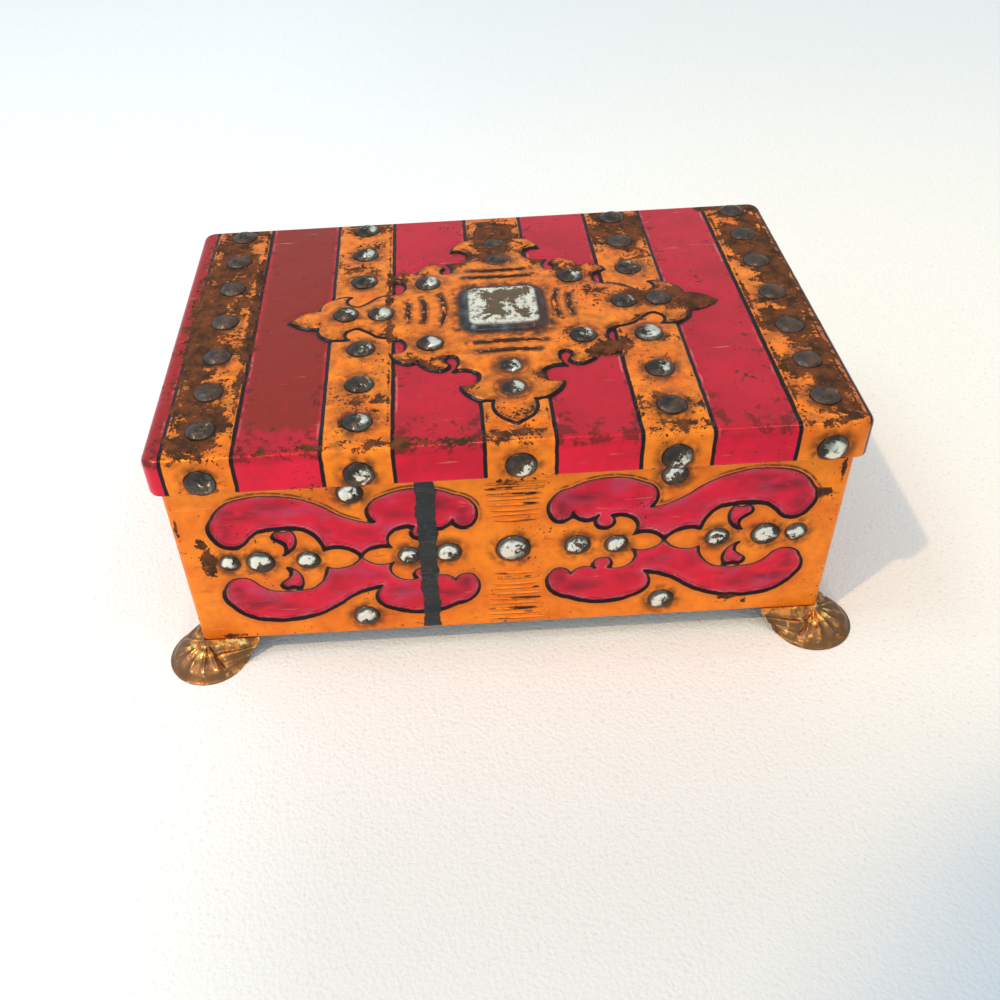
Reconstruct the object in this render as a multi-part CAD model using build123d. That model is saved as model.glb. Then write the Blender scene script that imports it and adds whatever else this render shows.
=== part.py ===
from build123d import *
import math
import os

# Tin jewelry box with a hinged lid, in millimetres.
# It stands on the plane z = 0, its front faces -Y, and the origin is the middle of its footprint.

# Tinplate, and the gaps left between loose pieces
SHEET = 0.35
SEAT_GAP = 0.1
PIN_CLEARANCE = 0.05
SIDE_CLEARANCE = 0.3

# Lid
LID_WIDTH = 180.0
LID_DEPTH = 119.2
LID_HEIGHT = 11.0
LID_CORNER_RADIUS = 3.8
LID_EDGE_RADIUS = 2.0
LID_HEM_HEIGHT = 3.0

# Body, which stands inside the lid's skirt
LID_OVERHANG = 2.4
BOX_HEIGHT = 74.3
FOOT_HEIGHT = 7.0
BODY_CORNER_RADIUS = 1.5
BODY_FOLD_RADIUS = 0.8
RIM_HEM_HEIGHT = 4.0
BOTTOM_HEM_WIDTH = 3.0
PANEL_CLEARANCE = 0.5
SEAM_WIDTH = 4.0
SEAM_LAYERS = 2

# Raised straps across the lid, and the studs in them
STRAP_COUNT = 5
STRAP_PITCH = 39.0
STRAP_WIDTH = 17.6
STRAP_LENGTH = 110.0
STRAP_RELIEF = 0.5
STRAP_SHIFT_X = 2.2
STRAP_SHIFT_Y = 2.0
STUD_PITCH = 17.0
STUD_RADIUS = 3.5
STUD_HEIGHT = 1.4
STUD_CROWN_SHARE = 0.5
STUD_SIDES = 8
STRAP_STUD_STEPS = 3
STRAP_STUDS_COVERED = [0, 1, 4]
SKIRT_STUD_DROP = 7.3

# Raised cross ornament on the lid
CROSS_SHIFT_X = 2.8
CROSS_SHIFT_Y = 0.5
CROSS_RELIEF = 1.1
BOSS_WIDTH = 24.0
BOSS_TOP_WIDTH = 20.5
BOSS_CORNER_RADIUS = 3.0
BOSS_RELIEF = 2.8
CROSS_STUD_RADIUS = 3.2
CROSS_HOLLOW_STEPS = [(50.0, 4.3), (27.0, 17.0), (7.5, 40.0)]

# Sunk scroll fields in the walls
FIELD_DEPTH = 0.8
FIELD_SHIFT_X = 1.0
FIELD_MIDDLE = 29.5
MOTIF_MIDDLE = 44.2
WALL_STUD_RADIUS = 2.9
WALL_STUD_HEIGHT = 1.2

# Feet
FOOT_WING = 16.0
FOOT_RIM_RADIUS = 11.35
FOOT_RIM_INSET = 0.7
FOOT_RIM_SWEEP = 242.0
FOOT_FAN_SWEEP = 168.0
FOOT_NECK_RADIUS = 1.2
FOOT_FLUTES = 6
WING_SLICES = 3
FLUTE_LIFT = 0.35
FOOT_LIP = 0.8
TAB_WIDTH = 5.0
TAB_LENGTH = 4.0
TAB_CLEARANCE = 0.2

# Hinges: two wire pins at the foot of the back skirt
HINGE_SPREAD = 90.0
HINGE_WIDTH = 24.0
HINGE_RISE = 1.0
BARREL_RADIUS = 1.05
TONGUE_WIDTH = 10.0
LEAF_HEIGHT = 4.0
PIN_HEAD_THICKNESS = 0.4
PIN_HEAD_RADIUS = 0.95

# Black strip stuck down the front wall
STRIP_WIDTH = 4.5
STRIP_THICKNESS = 0.15
STRIP_X = -21.85
STRIP_TOP = 57.5
STRIP_BOTTOM = 1.0
STRIP_DIP = (10.4, 21.6)
STRIP_SLOPE = 1.2

# Levels and half sizes that follow from the values above
LID_TOP = BOX_HEIGHT
SKIRT_BOTTOM = LID_TOP - LID_HEIGHT
WALL_TOP = LID_TOP - SHEET - SEAT_GAP
BODY_WIDTH = LID_WIDTH - 2 * LID_OVERHANG
BODY_DEPTH = LID_DEPTH - 2 * LID_OVERHANG
PANEL_BOTTOM = FOOT_HEIGHT + SHEET
PANEL_TOP = PANEL_BOTTOM + SHEET
HINGE_Y = LID_DEPTH / 2 - BARREL_RADIUS
HINGE_Z = SKIRT_BOTTOM + HINGE_RISE
LEAF_BOTTOM = SKIRT_BOTTOM - LEAF_HEIGHT
BORE_RADIUS = BARREL_RADIUS - SHEET
PIN_RADIUS = BORE_RADIUS - PIN_CLEARANCE
STRAP_TOP = LID_TOP + STRAP_RELIEF
CROSS_TOP = LID_TOP + CROSS_RELIEF

# Side view of a foot from the wall to the rim: share of the way out, and share of the height
FOOT_PROFILE = [(0.0, 1.0), (0.06, 0.8), (0.28, 0.62), (0.55, 0.52), (0.82, 0.3), (1.0, 0.0)]

# One quarter of the cross ornament, from the tip of its side arm to the tip of its end arm.
# Each arc has a point that it passes through and its end, measured from the ornament's middle.
CROSS_ARM_TIP = (60.8, 0.0)
CROSS_ARCS = [
    ((56.8, 3.5), (52.1, 4.7)),
    ((50.6, 9.4), (43.6, 11.2)),
    ((44.5, 8.4), (42.3, 5.9)),
    ((38.8, 7.1), (35.8, 10.3)),
    ((33.2, 11.4), (30.3, 11.8)),
    ((27.6, 15.4), (31.7, 19.3)),
    ((29.0, 23.6), (24.5, 23.0)),
    ((21.3, 27.4), (15.7, 26.5)),
    ((16.9, 23.2), (15.4, 21.7)),
    ((13.4, 24.2), (15.0, 28.7)),
    ((10.2, 29.0), (8.1, 32.0)),
    ((8.9, 34.6), (13.4, 35.7)),
    ((11.4, 40.2), (5.1, 43.2)),
    ((3.2, 48.4), (0.0, 52.8)),
]
CROSS_STUDS = [(20.9, 16.5), (36.3, 0.0), (46.0, 0.0), (0.0, 28.6), (0.0, 38.6)]

# One sunk field of the scroll motif, above the wall's middle line and right of the motif's axis.
FIELD_PINCH = (40.5, 0.3)
FIELD_ARCS = [
    ((44.8, 3.6), (50.0, 3.2)),
    ((57.0, 11.6), (69.0, 8.5)),
    ((74.0, 6.0), (78.0, 8.5)),
    ((78.4, 15.0), (74.0, 20.5)),
    ((62.0, 23.0), (47.0, 17.0)),
    ((42.0, 13.7), (36.0, 11.8)),
    ((37.4, 16.8), (34.0, 20.5)),
    ((24.0, 22.5), (15.0, 20.0)),
    ((9.7, 13.6), (11.5, 8.8)),
    ((14.2, 8.9), (15.7, 11.3)),
    ((19.0, 8.7), (22.5, 9.7)),
    ((24.3, 5.6), (26.0, 9.6)),
    ((30.8, 9.0), (32.4, 2.8)),
    ((36.6, 2.9), FIELD_PINCH),
]
FIELD_STUDS = [(17.0, 0.0), (28.1, 0.0), (55.0, 0.0), (67.5, 0.0), (75.5, 0.0), (41.0, 22.8), (41.0, -22.8)]


def rounded_block(width, depth, bottom, top, corner_radius):
    """Upright block with round corners in plan, between two levels."""
    outline = RectangleRounded(width, depth, corner_radius)
    return extrude(Pos(0, 0, bottom) * outline, top - bottom)


def arc_edges(start, arcs):
    """Edges of a chain of arcs, each given by a point on it and its end."""
    edges = []
    here = start
    for through, end in arcs:
        edges.append(ThreePointArc(here, through, end))
        here = end
    return edges


def cross_outline():
    """Face of the whole cross ornament, mirrored from one quarter."""
    quarter = Curve() + arc_edges(CROSS_ARM_TIP, CROSS_ARCS)
    half = quarter + mirror(quarter, Plane.YZ)
    return make_face(half + mirror(half, Plane.XZ))


def field_outline():
    """Face of one sunk field, in the motif's own coordinates."""
    return make_face(arc_edges(FIELD_PINCH, FIELD_ARCS))


def mirrored_places(points):
    """Every place of a point that is repeated on both sides of both axes, without doubles."""
    places = []
    for x, y in points:
        for place in ((x, y), (-x, y), (x, -y), (-x, -y)):
            if place not in places:
                places.append(place)
    return places


def stud(radius, height):
    """Hammered stud head on the plane z = 0."""
    foot = RegularPolygon(radius, STUD_SIDES)
    crown = Pos(0, 0, height) * RegularPolygon(radius * STUD_CROWN_SHARE, STUD_SIDES)
    return loft([foot, crown])


def strap_centres():
    """X of the middle of each strap."""
    middle = (STRAP_COUNT - 1) / 2
    return [STRAP_SHIFT_X + (number - middle) * STRAP_PITCH for number in range(STRAP_COUNT)]


def strap_stud_places():
    """Middle of each stud on the straps, leaving out those that the cross ornament covers."""
    places = []
    for number, x in enumerate(strap_centres()):
        from_edge = min(number, STRAP_COUNT - 1 - number)
        covered = STRAP_STUDS_COVERED[from_edge]
        for step in range(-STRAP_STUD_STEPS, STRAP_STUD_STEPS + 1):
            if abs(step) >= covered:
                places.append((x, STRAP_SHIFT_Y + step * STUD_PITCH))
    return places


def straps(inset):
    """Straps raised above the lid's top, or the hollows under them where the inset is the sheet."""
    strap = Rectangle(STRAP_WIDTH - 2 * inset, STRAP_LENGTH - 2 * inset)
    solid = Pos(0, STRAP_SHIFT_Y, LID_TOP - inset) * extrude(strap, STRAP_RELIEF)
    return [Pos(x, 0, 0) * solid for x in strap_centres()]


def boss(inset):
    """Square boss on the cross ornament, or the hollow under it where the inset is the sheet."""
    foot_width = BOSS_WIDTH - 2 * inset
    crown_width = BOSS_TOP_WIDTH - 2 * inset
    foot = RectangleRounded(foot_width, foot_width, BOSS_CORNER_RADIUS - inset)
    crown = RectangleRounded(crown_width, crown_width, BOSS_CORNER_RADIUS - inset)
    height = BOSS_RELIEF - CROSS_RELIEF
    return Pos(CROSS_SHIFT_X, CROSS_SHIFT_Y, CROSS_TOP - inset) * loft([foot, Pos(0, 0, height) * crown])


def cross_hollow():
    """Hollow pressed up under the cross ornament, stepped along its four arms."""
    plan = Sketch() + [Rectangle(2 * reach, 2 * half) for reach, half in CROSS_HOLLOW_STEPS]
    return Pos(CROSS_SHIFT_X, CROSS_SHIFT_Y, LID_TOP - SHEET) * extrude(plan, CROSS_RELIEF)


def lid_studs():
    """Studs in the straps, in the cross ornament, and at the strap ends on both long skirts.

    The two that would sit over the hinges are left out.
    """
    pieces = [Pos(x, y, STRAP_TOP) * stud(STUD_RADIUS, STUD_HEIGHT) for x, y in strap_stud_places()]
    for x, y in mirrored_places(CROSS_STUDS):
        place = Pos(CROSS_SHIFT_X + x, CROSS_SHIFT_Y + y, CROSS_TOP)
        pieces.append(place * stud(CROSS_STUD_RADIUS, STUD_HEIGHT))
    for x in strap_centres():
        over_hinge = abs(abs(x) - HINGE_SPREAD / 2) < HINGE_WIDTH / 2
        for side in [-1] if over_hinge else [-1, 1]:
            face = Plane(
                origin=(x, side * LID_DEPTH / 2, LID_TOP - SKIRT_STUD_DROP),
                x_dir=(-side, 0, 0),
                z_dir=(0, side, 0),
            )
            pieces.append(face * stud(STUD_RADIUS, STUD_HEIGHT))
    return pieces


def lid_form(inset):
    """Drawn lid with its straps and boss, or the space inside it where the inset is the sheet."""
    bottom = SKIRT_BOTTOM - inset
    form = rounded_block(
        LID_WIDTH - 2 * inset, LID_DEPTH - 2 * inset, bottom, LID_TOP - inset, LID_CORNER_RADIUS - inset
    )
    top_edges = form.faces().sort_by(Axis.Z)[-1].edges()
    form = fillet(top_edges, LID_EDGE_RADIUS - inset)
    return form + straps(inset) + boss(inset)


def hem(width, depth, corner_radius, bottom, top):
    """Edge folded flat against the inner face of a wall of the given inner size."""
    layer = rounded_block(width, depth, bottom, top, corner_radius)
    return layer - rounded_block(width - 2 * SHEET, depth - 2 * SHEET, bottom, top, corner_radius - SHEET)


def barrel(length):
    """Sheet rolled to a tube round the hinge axis, centred on the hinge."""
    ring = Circle(BARREL_RADIUS) - Circle(BORE_RADIUS)
    return Plane.YZ * extrude(ring, length / 2, both=True)


def make_lid():
    """Lid with its embossing, its hem and the two tongues rolled round the hinge pins."""
    cross_place = Pos(CROSS_SHIFT_X, CROSS_SHIFT_Y, LID_TOP)
    cross = cross_place * extrude(cross_outline(), CROSS_RELIEF)
    lid = (lid_form(0) + cross + lid_studs()) - lid_form(SHEET) - cross_hollow()
    lid += hem(
        LID_WIDTH - 2 * SHEET,
        LID_DEPTH - 2 * SHEET,
        LID_CORNER_RADIUS - SHEET,
        SKIRT_BOTTOM,
        SKIRT_BOTTOM + LID_HEM_HEIGHT,
    )
    notch_width = HINGE_WIDTH + 2 * (PIN_HEAD_THICKNESS + SIDE_CLEARANCE)
    notch_rise = BARREL_RADIUS + SIDE_CLEARANCE
    notch = Box(
        notch_width, 2 * BARREL_RADIUS, HINGE_RISE + notch_rise + SHEET,
        align=(Align.CENTER, Align.CENTER, Align.MAX),
    )
    tongue = Pos(0, BORE_RADIUS, 0) * Box(
        TONGUE_WIDTH, SHEET, notch_rise, align=(Align.CENTER, Align.MIN, Align.MIN)
    )
    for side in (-1, 1):
        axis = Pos(side * HINGE_SPREAD / 2, HINGE_Y, HINGE_Z)
        lid -= axis * Pos(0, 0, notch_rise) * notch
        lid += axis * (tongue + barrel(TONGUE_WIDTH))
    return lid


def wall_faces():
    """Plane on the outer face of each wall, and the ends and mirrorings of the motifs on it."""
    level = FOOT_HEIGHT + FIELD_MIDDLE
    pair = [(0, 1), (0, -1)]
    single = [(-MOTIF_MIDDLE, 1)]
    return {
        "front": (Plane((FIELD_SHIFT_X, -BODY_DEPTH / 2, level), (1, 0, 0), (0, -1, 0)), pair),
        "back": (Plane((-FIELD_SHIFT_X, BODY_DEPTH / 2, level), (-1, 0, 0), (0, 1, 0)), pair),
        "right": (Plane((BODY_WIDTH / 2, 0, level), (0, 1, 0), (1, 0, 0)), single),
        "left": (Plane((-BODY_WIDTH / 2, 0, level), (0, -1, 0), (-1, 0, 0)), single),
    }


def sunk_fields():
    """Hollows of the front wall's sunk fields, and the sheet that is pressed inwards behind them."""
    face, motifs = wall_faces()["front"]
    outline = field_outline()
    upper_hollow = extrude(outline, -FIELD_DEPTH)
    upper_pan = extrude(offset(outline, SHEET), -FIELD_DEPTH - SHEET)
    hollows = []
    pans = []
    for shift, direction in motifs:
        for solid, group in ((upper_hollow, hollows), (upper_pan, pans)):
            sided = solid if direction > 0 else mirror(solid, Plane.YZ)
            for piece in (sided, mirror(sided, Plane.XZ)):
                group.append(face * Pos(shift, 0, 0) * piece)
    return hollows, pans


def wall_studs():
    """Studs on the four walls; the hinge leaves take the place of the upper ones at the back."""
    pieces = []
    for name, (face, motifs) in wall_faces().items():
        places = []
        for shift, direction in motifs:
            places += [(shift + direction * x, y) for x, y in FIELD_STUDS]
        if len(motifs) > 1:
            places.append((0, 0))
        if name == "back":
            places = [(x, y) for x, y in places if y <= 0]
        for x, y in places:
            pieces.append(face * Pos(x, y, 0) * stud(WALL_STUD_RADIUS, WALL_STUD_HEIGHT))
    return pieces


def body_form(inset, bottom, top):
    """Outer form of the body, or the space inside it, with its lower edge folded round."""
    form = rounded_block(
        BODY_WIDTH - 2 * inset, BODY_DEPTH - 2 * inset, bottom, top, BODY_CORNER_RADIUS - inset
    )
    lower_edges = form.faces().sort_by(Axis.Z)[0].edges()
    return fillet(lower_edges, BODY_FOLD_RADIUS - inset)


def make_body_wall():
    """One wrap of tinplate: four walls, a hem at the rim, a lock seam and a fold under the bottom."""
    inner_width = BODY_WIDTH - 2 * SHEET
    inner_depth = BODY_DEPTH - 2 * SHEET
    inner_radius = BODY_CORNER_RADIUS - SHEET
    wall = body_form(0, FOOT_HEIGHT, WALL_TOP) - body_form(SHEET, PANEL_BOTTOM, WALL_TOP + SHEET)
    wall -= Pos(0, 0, FOOT_HEIGHT) * Box(
        inner_width - 2 * BOTTOM_HEM_WIDTH, inner_depth - 2 * BOTTOM_HEM_WIDTH, 2 * SHEET
    )
    wall += hem(inner_width, inner_depth, inner_radius, WALL_TOP - RIM_HEM_HEIGHT, WALL_TOP)
    seam_bottom = PANEL_TOP + SIDE_CLEARANCE
    wall += Pos(0, inner_depth / 2, seam_bottom) * Box(
        SEAM_WIDTH, SEAM_LAYERS * SHEET, WALL_TOP - seam_bottom,
        align=(Align.CENTER, Align.MAX, Align.MIN),
    )
    hollows, pans = sunk_fields()
    return (wall + pans + wall_studs()) - hollows


def corner_places():
    """Name, middle and turn of each lower corner of the body."""
    x = BODY_WIDTH / 2
    y = BODY_DEPTH / 2
    return {
        "back_right": (x, y, 0),
        "back_left": (-x, y, 90),
        "front_left": (-x, -y, 180),
        "front_right": (x, -y, 270),
    }


def tab_frame():
    """Place of a foot's tab, in a frame whose +X axis points to the corner."""
    return Pos(-FOOT_WING / 2, -FOOT_WING / 2, 0) * Rot(0, 0, 45)


def make_bottom_panel():
    """Flat pan that lies on the folded edge of the walls, slotted for the tabs of the feet."""
    inset = SHEET + PANEL_CLEARANCE
    panel = rounded_block(
        BODY_WIDTH - 2 * inset, BODY_DEPTH - 2 * inset, PANEL_BOTTOM, PANEL_TOP, BODY_CORNER_RADIUS - SHEET
    )
    slot = Box(SHEET + 2 * TAB_CLEARANCE, TAB_WIDTH + 2 * TAB_CLEARANCE, 4 * SHEET)
    for x, y, turn in corner_places().values():
        panel -= Pos(x, y, PANEL_BOTTOM) * Rot(0, 0, turn) * tab_frame() * slot
    return panel


def foot_section(angle, flute):
    """Slice through a foot's shell at an angle from the corner's diagonal, with the flute's lift."""
    side = math.copysign(1, angle)
    fan_half = FOOT_FAN_SWEEP / 2
    along = max(0, abs(angle) - fan_half) / (FOOT_RIM_SWEEP / 2 - fan_half)
    turn = math.radians(45 + 45 * side * min(1, abs(angle) / fan_half))
    run = along * (FOOT_WING - FOOT_NECK_RADIUS)
    top = Vector(-FOOT_NECK_RADIUS, -FOOT_NECK_RADIUS)
    top += Vector(math.cos(turn), math.sin(turn)) * FOOT_NECK_RADIUS
    top += Vector(-run, 0) if side > 0 else Vector(0, -run)
    rim_turn = math.radians(45 + angle)
    rim = Vector(-FOOT_RIM_INSET, -FOOT_RIM_INSET)
    rim += Vector(math.cos(rim_turn), math.sin(rim_turn)) * (FOOT_RIM_RADIUS + flute / 2)
    reach = (rim - top).length
    outer = []
    for share, height in FOOT_PROFILE:
        outer.append((share * reach, FOOT_HEIGHT * height + flute * math.sin(math.pi * share)))
    inner = [(-SHEET, FOOT_HEIGHT)]
    for before, here, after in zip(outer, outer[1:], outer[2:]):
        slope = math.atan2(after[1] - before[1], after[0] - before[0])
        inner.append((here[0] + SHEET * math.sin(slope), here[1] - SHEET * math.cos(slope)))
    lip = [(reach - FOOT_LIP, 0), (reach - FOOT_LIP, SHEET)]
    slice_plane = Plane(origin=top, x_dir=rim - top, z_dir=(rim - top).cross(Vector(0, 0, 1)))
    return slice_plane * make_face(Polyline(*outer, *lip, *reversed(inner), close=True))


def foot_shell():
    """Stamped shell: a fan of flutes round the corner between two moulded wings."""
    fan_half = FOOT_FAN_SWEEP / 2
    rim_half = FOOT_RIM_SWEEP / 2
    step = fan_half / FOOT_FLUTES
    wing_step = (rim_half - fan_half) / WING_SLICES
    wing_angles = [fan_half + number * wing_step for number in range(1, WING_SLICES + 1)]
    sections = [foot_section(-angle, 0) for angle in reversed(wing_angles)]
    for number in range(2 * FOOT_FLUTES + 1):
        flute = FLUTE_LIFT if number % 2 else -FLUTE_LIFT
        sections.append(foot_section(-fan_half + number * step, flute))
    sections += [foot_section(angle, 0) for angle in wing_angles]
    return loft(sections, ruled=True).fix()


def make_foot():
    """Foot at a corner whose walls run towards -X and -Y, with its flange and folded tab."""
    neck = FOOT_NECK_RADIUS
    flange_corners = [(-FOOT_WING, 0), (-neck, 0), (0, -neck), (0, -FOOT_WING)]
    flange = make_face(Polyline(*flange_corners, close=True))
    foot = foot_shell() + Pos(0, 0, FOOT_HEIGHT - SHEET) * extrude(flange, SHEET)
    tab_top = PANEL_TOP + SHEET
    upright = Box(
        SHEET, TAB_WIDTH, tab_top - FOOT_HEIGHT + SHEET, align=(Align.CENTER, Align.CENTER, Align.MAX)
    )
    fold = Box(TAB_LENGTH, TAB_WIDTH, SHEET, align=(Align.MAX, Align.CENTER, Align.MAX))
    return foot + tab_frame() * Pos(0, 0, tab_top) * (upright + fold)


def make_hinge_strap():
    """Strap on the back wall, centred on the hinge axis, with a barrel at each side of its notch."""
    wall_gap = HINGE_Y - BODY_DEPTH / 2
    gap_width = TONGUE_WIDTH + 2 * SIDE_CLEARANCE
    barrel_length = (HINGE_WIDTH - gap_width) / 2
    leaf_top = -BORE_RADIUS
    leaf_bottom = LEAF_BOTTOM - HINGE_Z
    strap = Pos(0, -wall_gap, leaf_top) * Box(
        HINGE_WIDTH, SHEET, leaf_top - leaf_bottom, align=(Align.CENTER, Align.MIN, Align.MAX)
    )
    strap += Pos(0, 0, leaf_top) * Box(
        HINGE_WIDTH, wall_gap, SHEET, align=(Align.CENTER, Align.MAX, Align.MAX)
    )
    strap -= Pos(0, 0, leaf_top) * Box(gap_width, 2 * wall_gap, 2 * (SHEET + SIDE_CLEARANCE))
    for side in (-1, 1):
        strap += Pos(side * (gap_width + barrel_length) / 2, 0, 0) * barrel(barrel_length)
    return strap


def make_hinge_pin():
    """Wire pin with both ends hammered over."""
    wire = Cylinder(PIN_RADIUS, HINGE_WIDTH, rotation=(0, 90, 0))
    head = Cylinder(PIN_HEAD_RADIUS, PIN_HEAD_THICKNESS, rotation=(0, 90, 0))
    head_x = (HINGE_WIDTH + PIN_HEAD_THICKNESS) / 2
    return wire + Pos(head_x, 0, 0) * head + Pos(-head_x, 0, 0) * head


def make_tape_strip():
    """Thin strip stuck down the front wall, pressed into the two sunk fields that it crosses."""
    low, high = STRIP_DIP
    dips = [(-high, -low), (low, high)]
    path = [(0, STRIP_BOTTOM - FIELD_MIDDLE)]
    for start, end in dips:
        path += [(0, start), (FIELD_DEPTH, start + STRIP_SLOPE), (FIELD_DEPTH, end - STRIP_SLOPE), (0, end)]
    path.append((0, STRIP_TOP - FIELD_MIDDLE))
    back = [(-STRIP_THICKNESS + depth, level) for depth, level in reversed(path)]
    side = make_face(Polyline(*path, *back, close=True))
    place = Plane(
        (STRIP_X, -BODY_DEPTH / 2, FOOT_HEIGHT + FIELD_MIDDLE), x_dir=(0, 1, 0), z_dir=(1, 0, 0)
    )
    return place * extrude(side, STRIP_WIDTH / 2, both=True)


def save(name, piece):
    """Write one piece to its own file."""
    export_step(piece, f"parts/{name}.step")


os.makedirs("parts", exist_ok=True)
save("lid", make_lid())
save("body_wall", make_body_wall())
save("bottom_panel", make_bottom_panel())
foot = make_foot()
for corner, (x, y, turn) in corner_places().items():
    save(f"foot_{corner}", Pos(x, y, 0) * Rot(0, 0, turn) * foot)
for name, side in (("left", -1), ("right", 1)):
    axis = Pos(side * HINGE_SPREAD / 2, HINGE_Y, HINGE_Z)
    save(f"hinge_strap_{name}", axis * make_hinge_strap())
    save(f"hinge_pin_{name}", axis * make_hinge_pin())
save("tape_strip", make_tape_strip())
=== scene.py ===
import math

import bpy
import numpy as np
from mathutils import Matrix, Vector


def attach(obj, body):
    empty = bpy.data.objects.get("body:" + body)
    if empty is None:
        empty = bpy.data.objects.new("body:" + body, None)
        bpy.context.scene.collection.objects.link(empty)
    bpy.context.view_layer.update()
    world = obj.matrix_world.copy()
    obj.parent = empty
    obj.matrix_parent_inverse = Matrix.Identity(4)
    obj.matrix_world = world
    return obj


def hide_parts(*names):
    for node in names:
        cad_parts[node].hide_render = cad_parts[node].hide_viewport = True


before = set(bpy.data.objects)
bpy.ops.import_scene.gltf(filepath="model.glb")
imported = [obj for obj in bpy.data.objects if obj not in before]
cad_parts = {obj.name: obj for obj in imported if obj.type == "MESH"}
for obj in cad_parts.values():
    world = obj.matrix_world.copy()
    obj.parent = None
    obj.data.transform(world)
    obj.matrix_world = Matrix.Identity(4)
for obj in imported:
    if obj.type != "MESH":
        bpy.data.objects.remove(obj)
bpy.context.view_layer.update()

# Sizes in millimetres, in the frame of the CAD model
MM = 0.001
SHEET = 0.35
FOOT_HEIGHT = 7.0

# Lid
LID_HALF_X = 90.0
LID_HALF_Y = 59.6
LID_TOP = 74.3
SKIRT_BOTTOM = 63.3
LID_CORNER = 3.8
LID_EDGE = 2.0
LID_HEM_TOP = 66.3

# Body
BODY_HALF_X = 87.6
BODY_HALF_Y = 57.2
BODY_CORNER = 1.5
BODY_FOLD = 0.8
WALL_TOP = 73.85
RIM_HEM_BOTTOM = 69.85
BOTTOM_HEM = 3.0
SEAM_BOTTOM = 8.0

# Straps printed and raised across the lid
STRAP_CENTRES = [-76.2, -37.0, 3.0, 41.6, 80.0]
STRAP_HALF_WIDTH = 8.8
STRAP_RELIEF = 0.5
STRAP_MIDDLE_Y = 1.5
STRAP_HALF_LENGTH = 54.5
STUD_ROWS = [-48.5, -32.4, -15.6, 2.0, 20.5, 37.0, 53.0]
STUD_ROWS_BESIDE_CROSS = [row for row in STUD_ROWS if row != 2.0]
STUD_ROWS_OF_STRAPS = [STUD_ROWS, STUD_ROWS_BESIDE_CROSS, [], STUD_ROWS_BESIDE_CROSS, STUD_ROWS]
SKIRT_STUD_LEVEL = 67.0
STUD_RADIUS = 3.5
BACK_STUD_RADIUS = 3.0

# Hammered stud heads; rise and flare are shares of the radius, the root a share of the rise
STUD_RISE = 0.4
STUD_FLARE = 0.14
STUD_ROOT = -0.12
DENT_DEPTH = 1.3
DENTS_PER_METRE = 480.0

# Ribs pressed in the cross ornament and the walls
RIB_SUNK = 0.2
RIB_REACH = 0.3
LID_RIB_WIDTH = 1.3
WALL_RIB_WIDTH = 1.2

# Ribs before and behind the boss and beside it: place, half length and bow
RIBS_ACROSS_X = 3.0
RIBS_ACROSS = [(-16.6, 10.5, 0.5), (-21.0, 8.5, 0.4), (18.8, 10.5, -0.4), (22.6, 9.0, -0.4)]
RIBS_BESIDE_Y = 1.6
RIBS_BESIDE = [
    (-24.3, 5.5, 0.3), (-20.0, 7.0, 0.7), (-14.9, 8.5, 1.2), (18.9, 7.5, -1.2), (22.4, 6.0, -0.6),
]

# Rib stacks of the walls: count, height of the first, pitch, and whether they grow shorter downward
WALL_RIB_STACKS = [(8, 59.4, 1.78, True), (10, 27.4, 2.0, False)]

# Half length of a stack's longest and shortest rib, and how far it lies to the right of the middle
WALL_RIB_HALF = (8.8, 6.4)
WALL_RIB_SHIFT = 1.6

# Cross ornament, boss and pressed ribs on the lid
CROSS_MIDDLE = (2.8, 0.5)
CROSS_RELIEF = 1.1
CROSS_ARM_TIP = (60.8, 0.0)
CROSS_ARCS = [
    ((56.8, 3.5), (52.1, 4.7)),
    ((51.6, 7.9), (49.0, 10.4)),
    ((46.3, 11.4), (43.3, 11.3)),
    ((44.6, 9.0), (43.2, 6.5)),
    ((42.0, 5.8), (40.3, 6.1)),
    ((38.0, 8.0), (35.8, 10.3)),
    ((33.2, 11.3), (30.3, 11.8)),
    ((27.6, 14.8), (28.6, 18.5)),
    ((30.1, 19.1), (31.7, 19.3)),
    ((29.8, 23.0), (26.8, 24.5)),
    ((25.5, 24.1), (24.5, 23.0)),
    ((22.4, 26.6), (19.3, 28.3)),
    ((16.9, 27.8), (15.9, 25.6)),
    ((17.1, 23.6), (16.6, 22.2)),
    ((14.9, 21.9), (13.6, 23.8)),
    ((13.7, 26.2), (15.0, 28.7)),
    ((11.3, 28.7), (8.6, 30.5)),
    ((8.2, 33.2), (10.2, 35.4)),
    ((11.8, 35.9), (13.4, 35.7)),
    ((12.0, 39.6), (8.8, 42.3)),
    ((7.0, 43.1), (5.1, 43.2)),
    ((4.5, 49.4), (1.5, 52.0)),
    ((0.8, 52.5), (0.0, 52.8)),
]
CROSS_STUDS = [(20.9, 16.0), (34.5, 0.5), (44.5, 1.0), (0.0, 28.6), (0.0, 38.6)]
CROSS_STUD_RADIUS = 3.3
BOSS_HALF_WIDTH = 12.3
BOSS_CORNER = 5.0
BOSS_SLOPE = 3.0
BOSS_RELIEF = 2.5
BOSS_PEAK = 0.28

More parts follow.
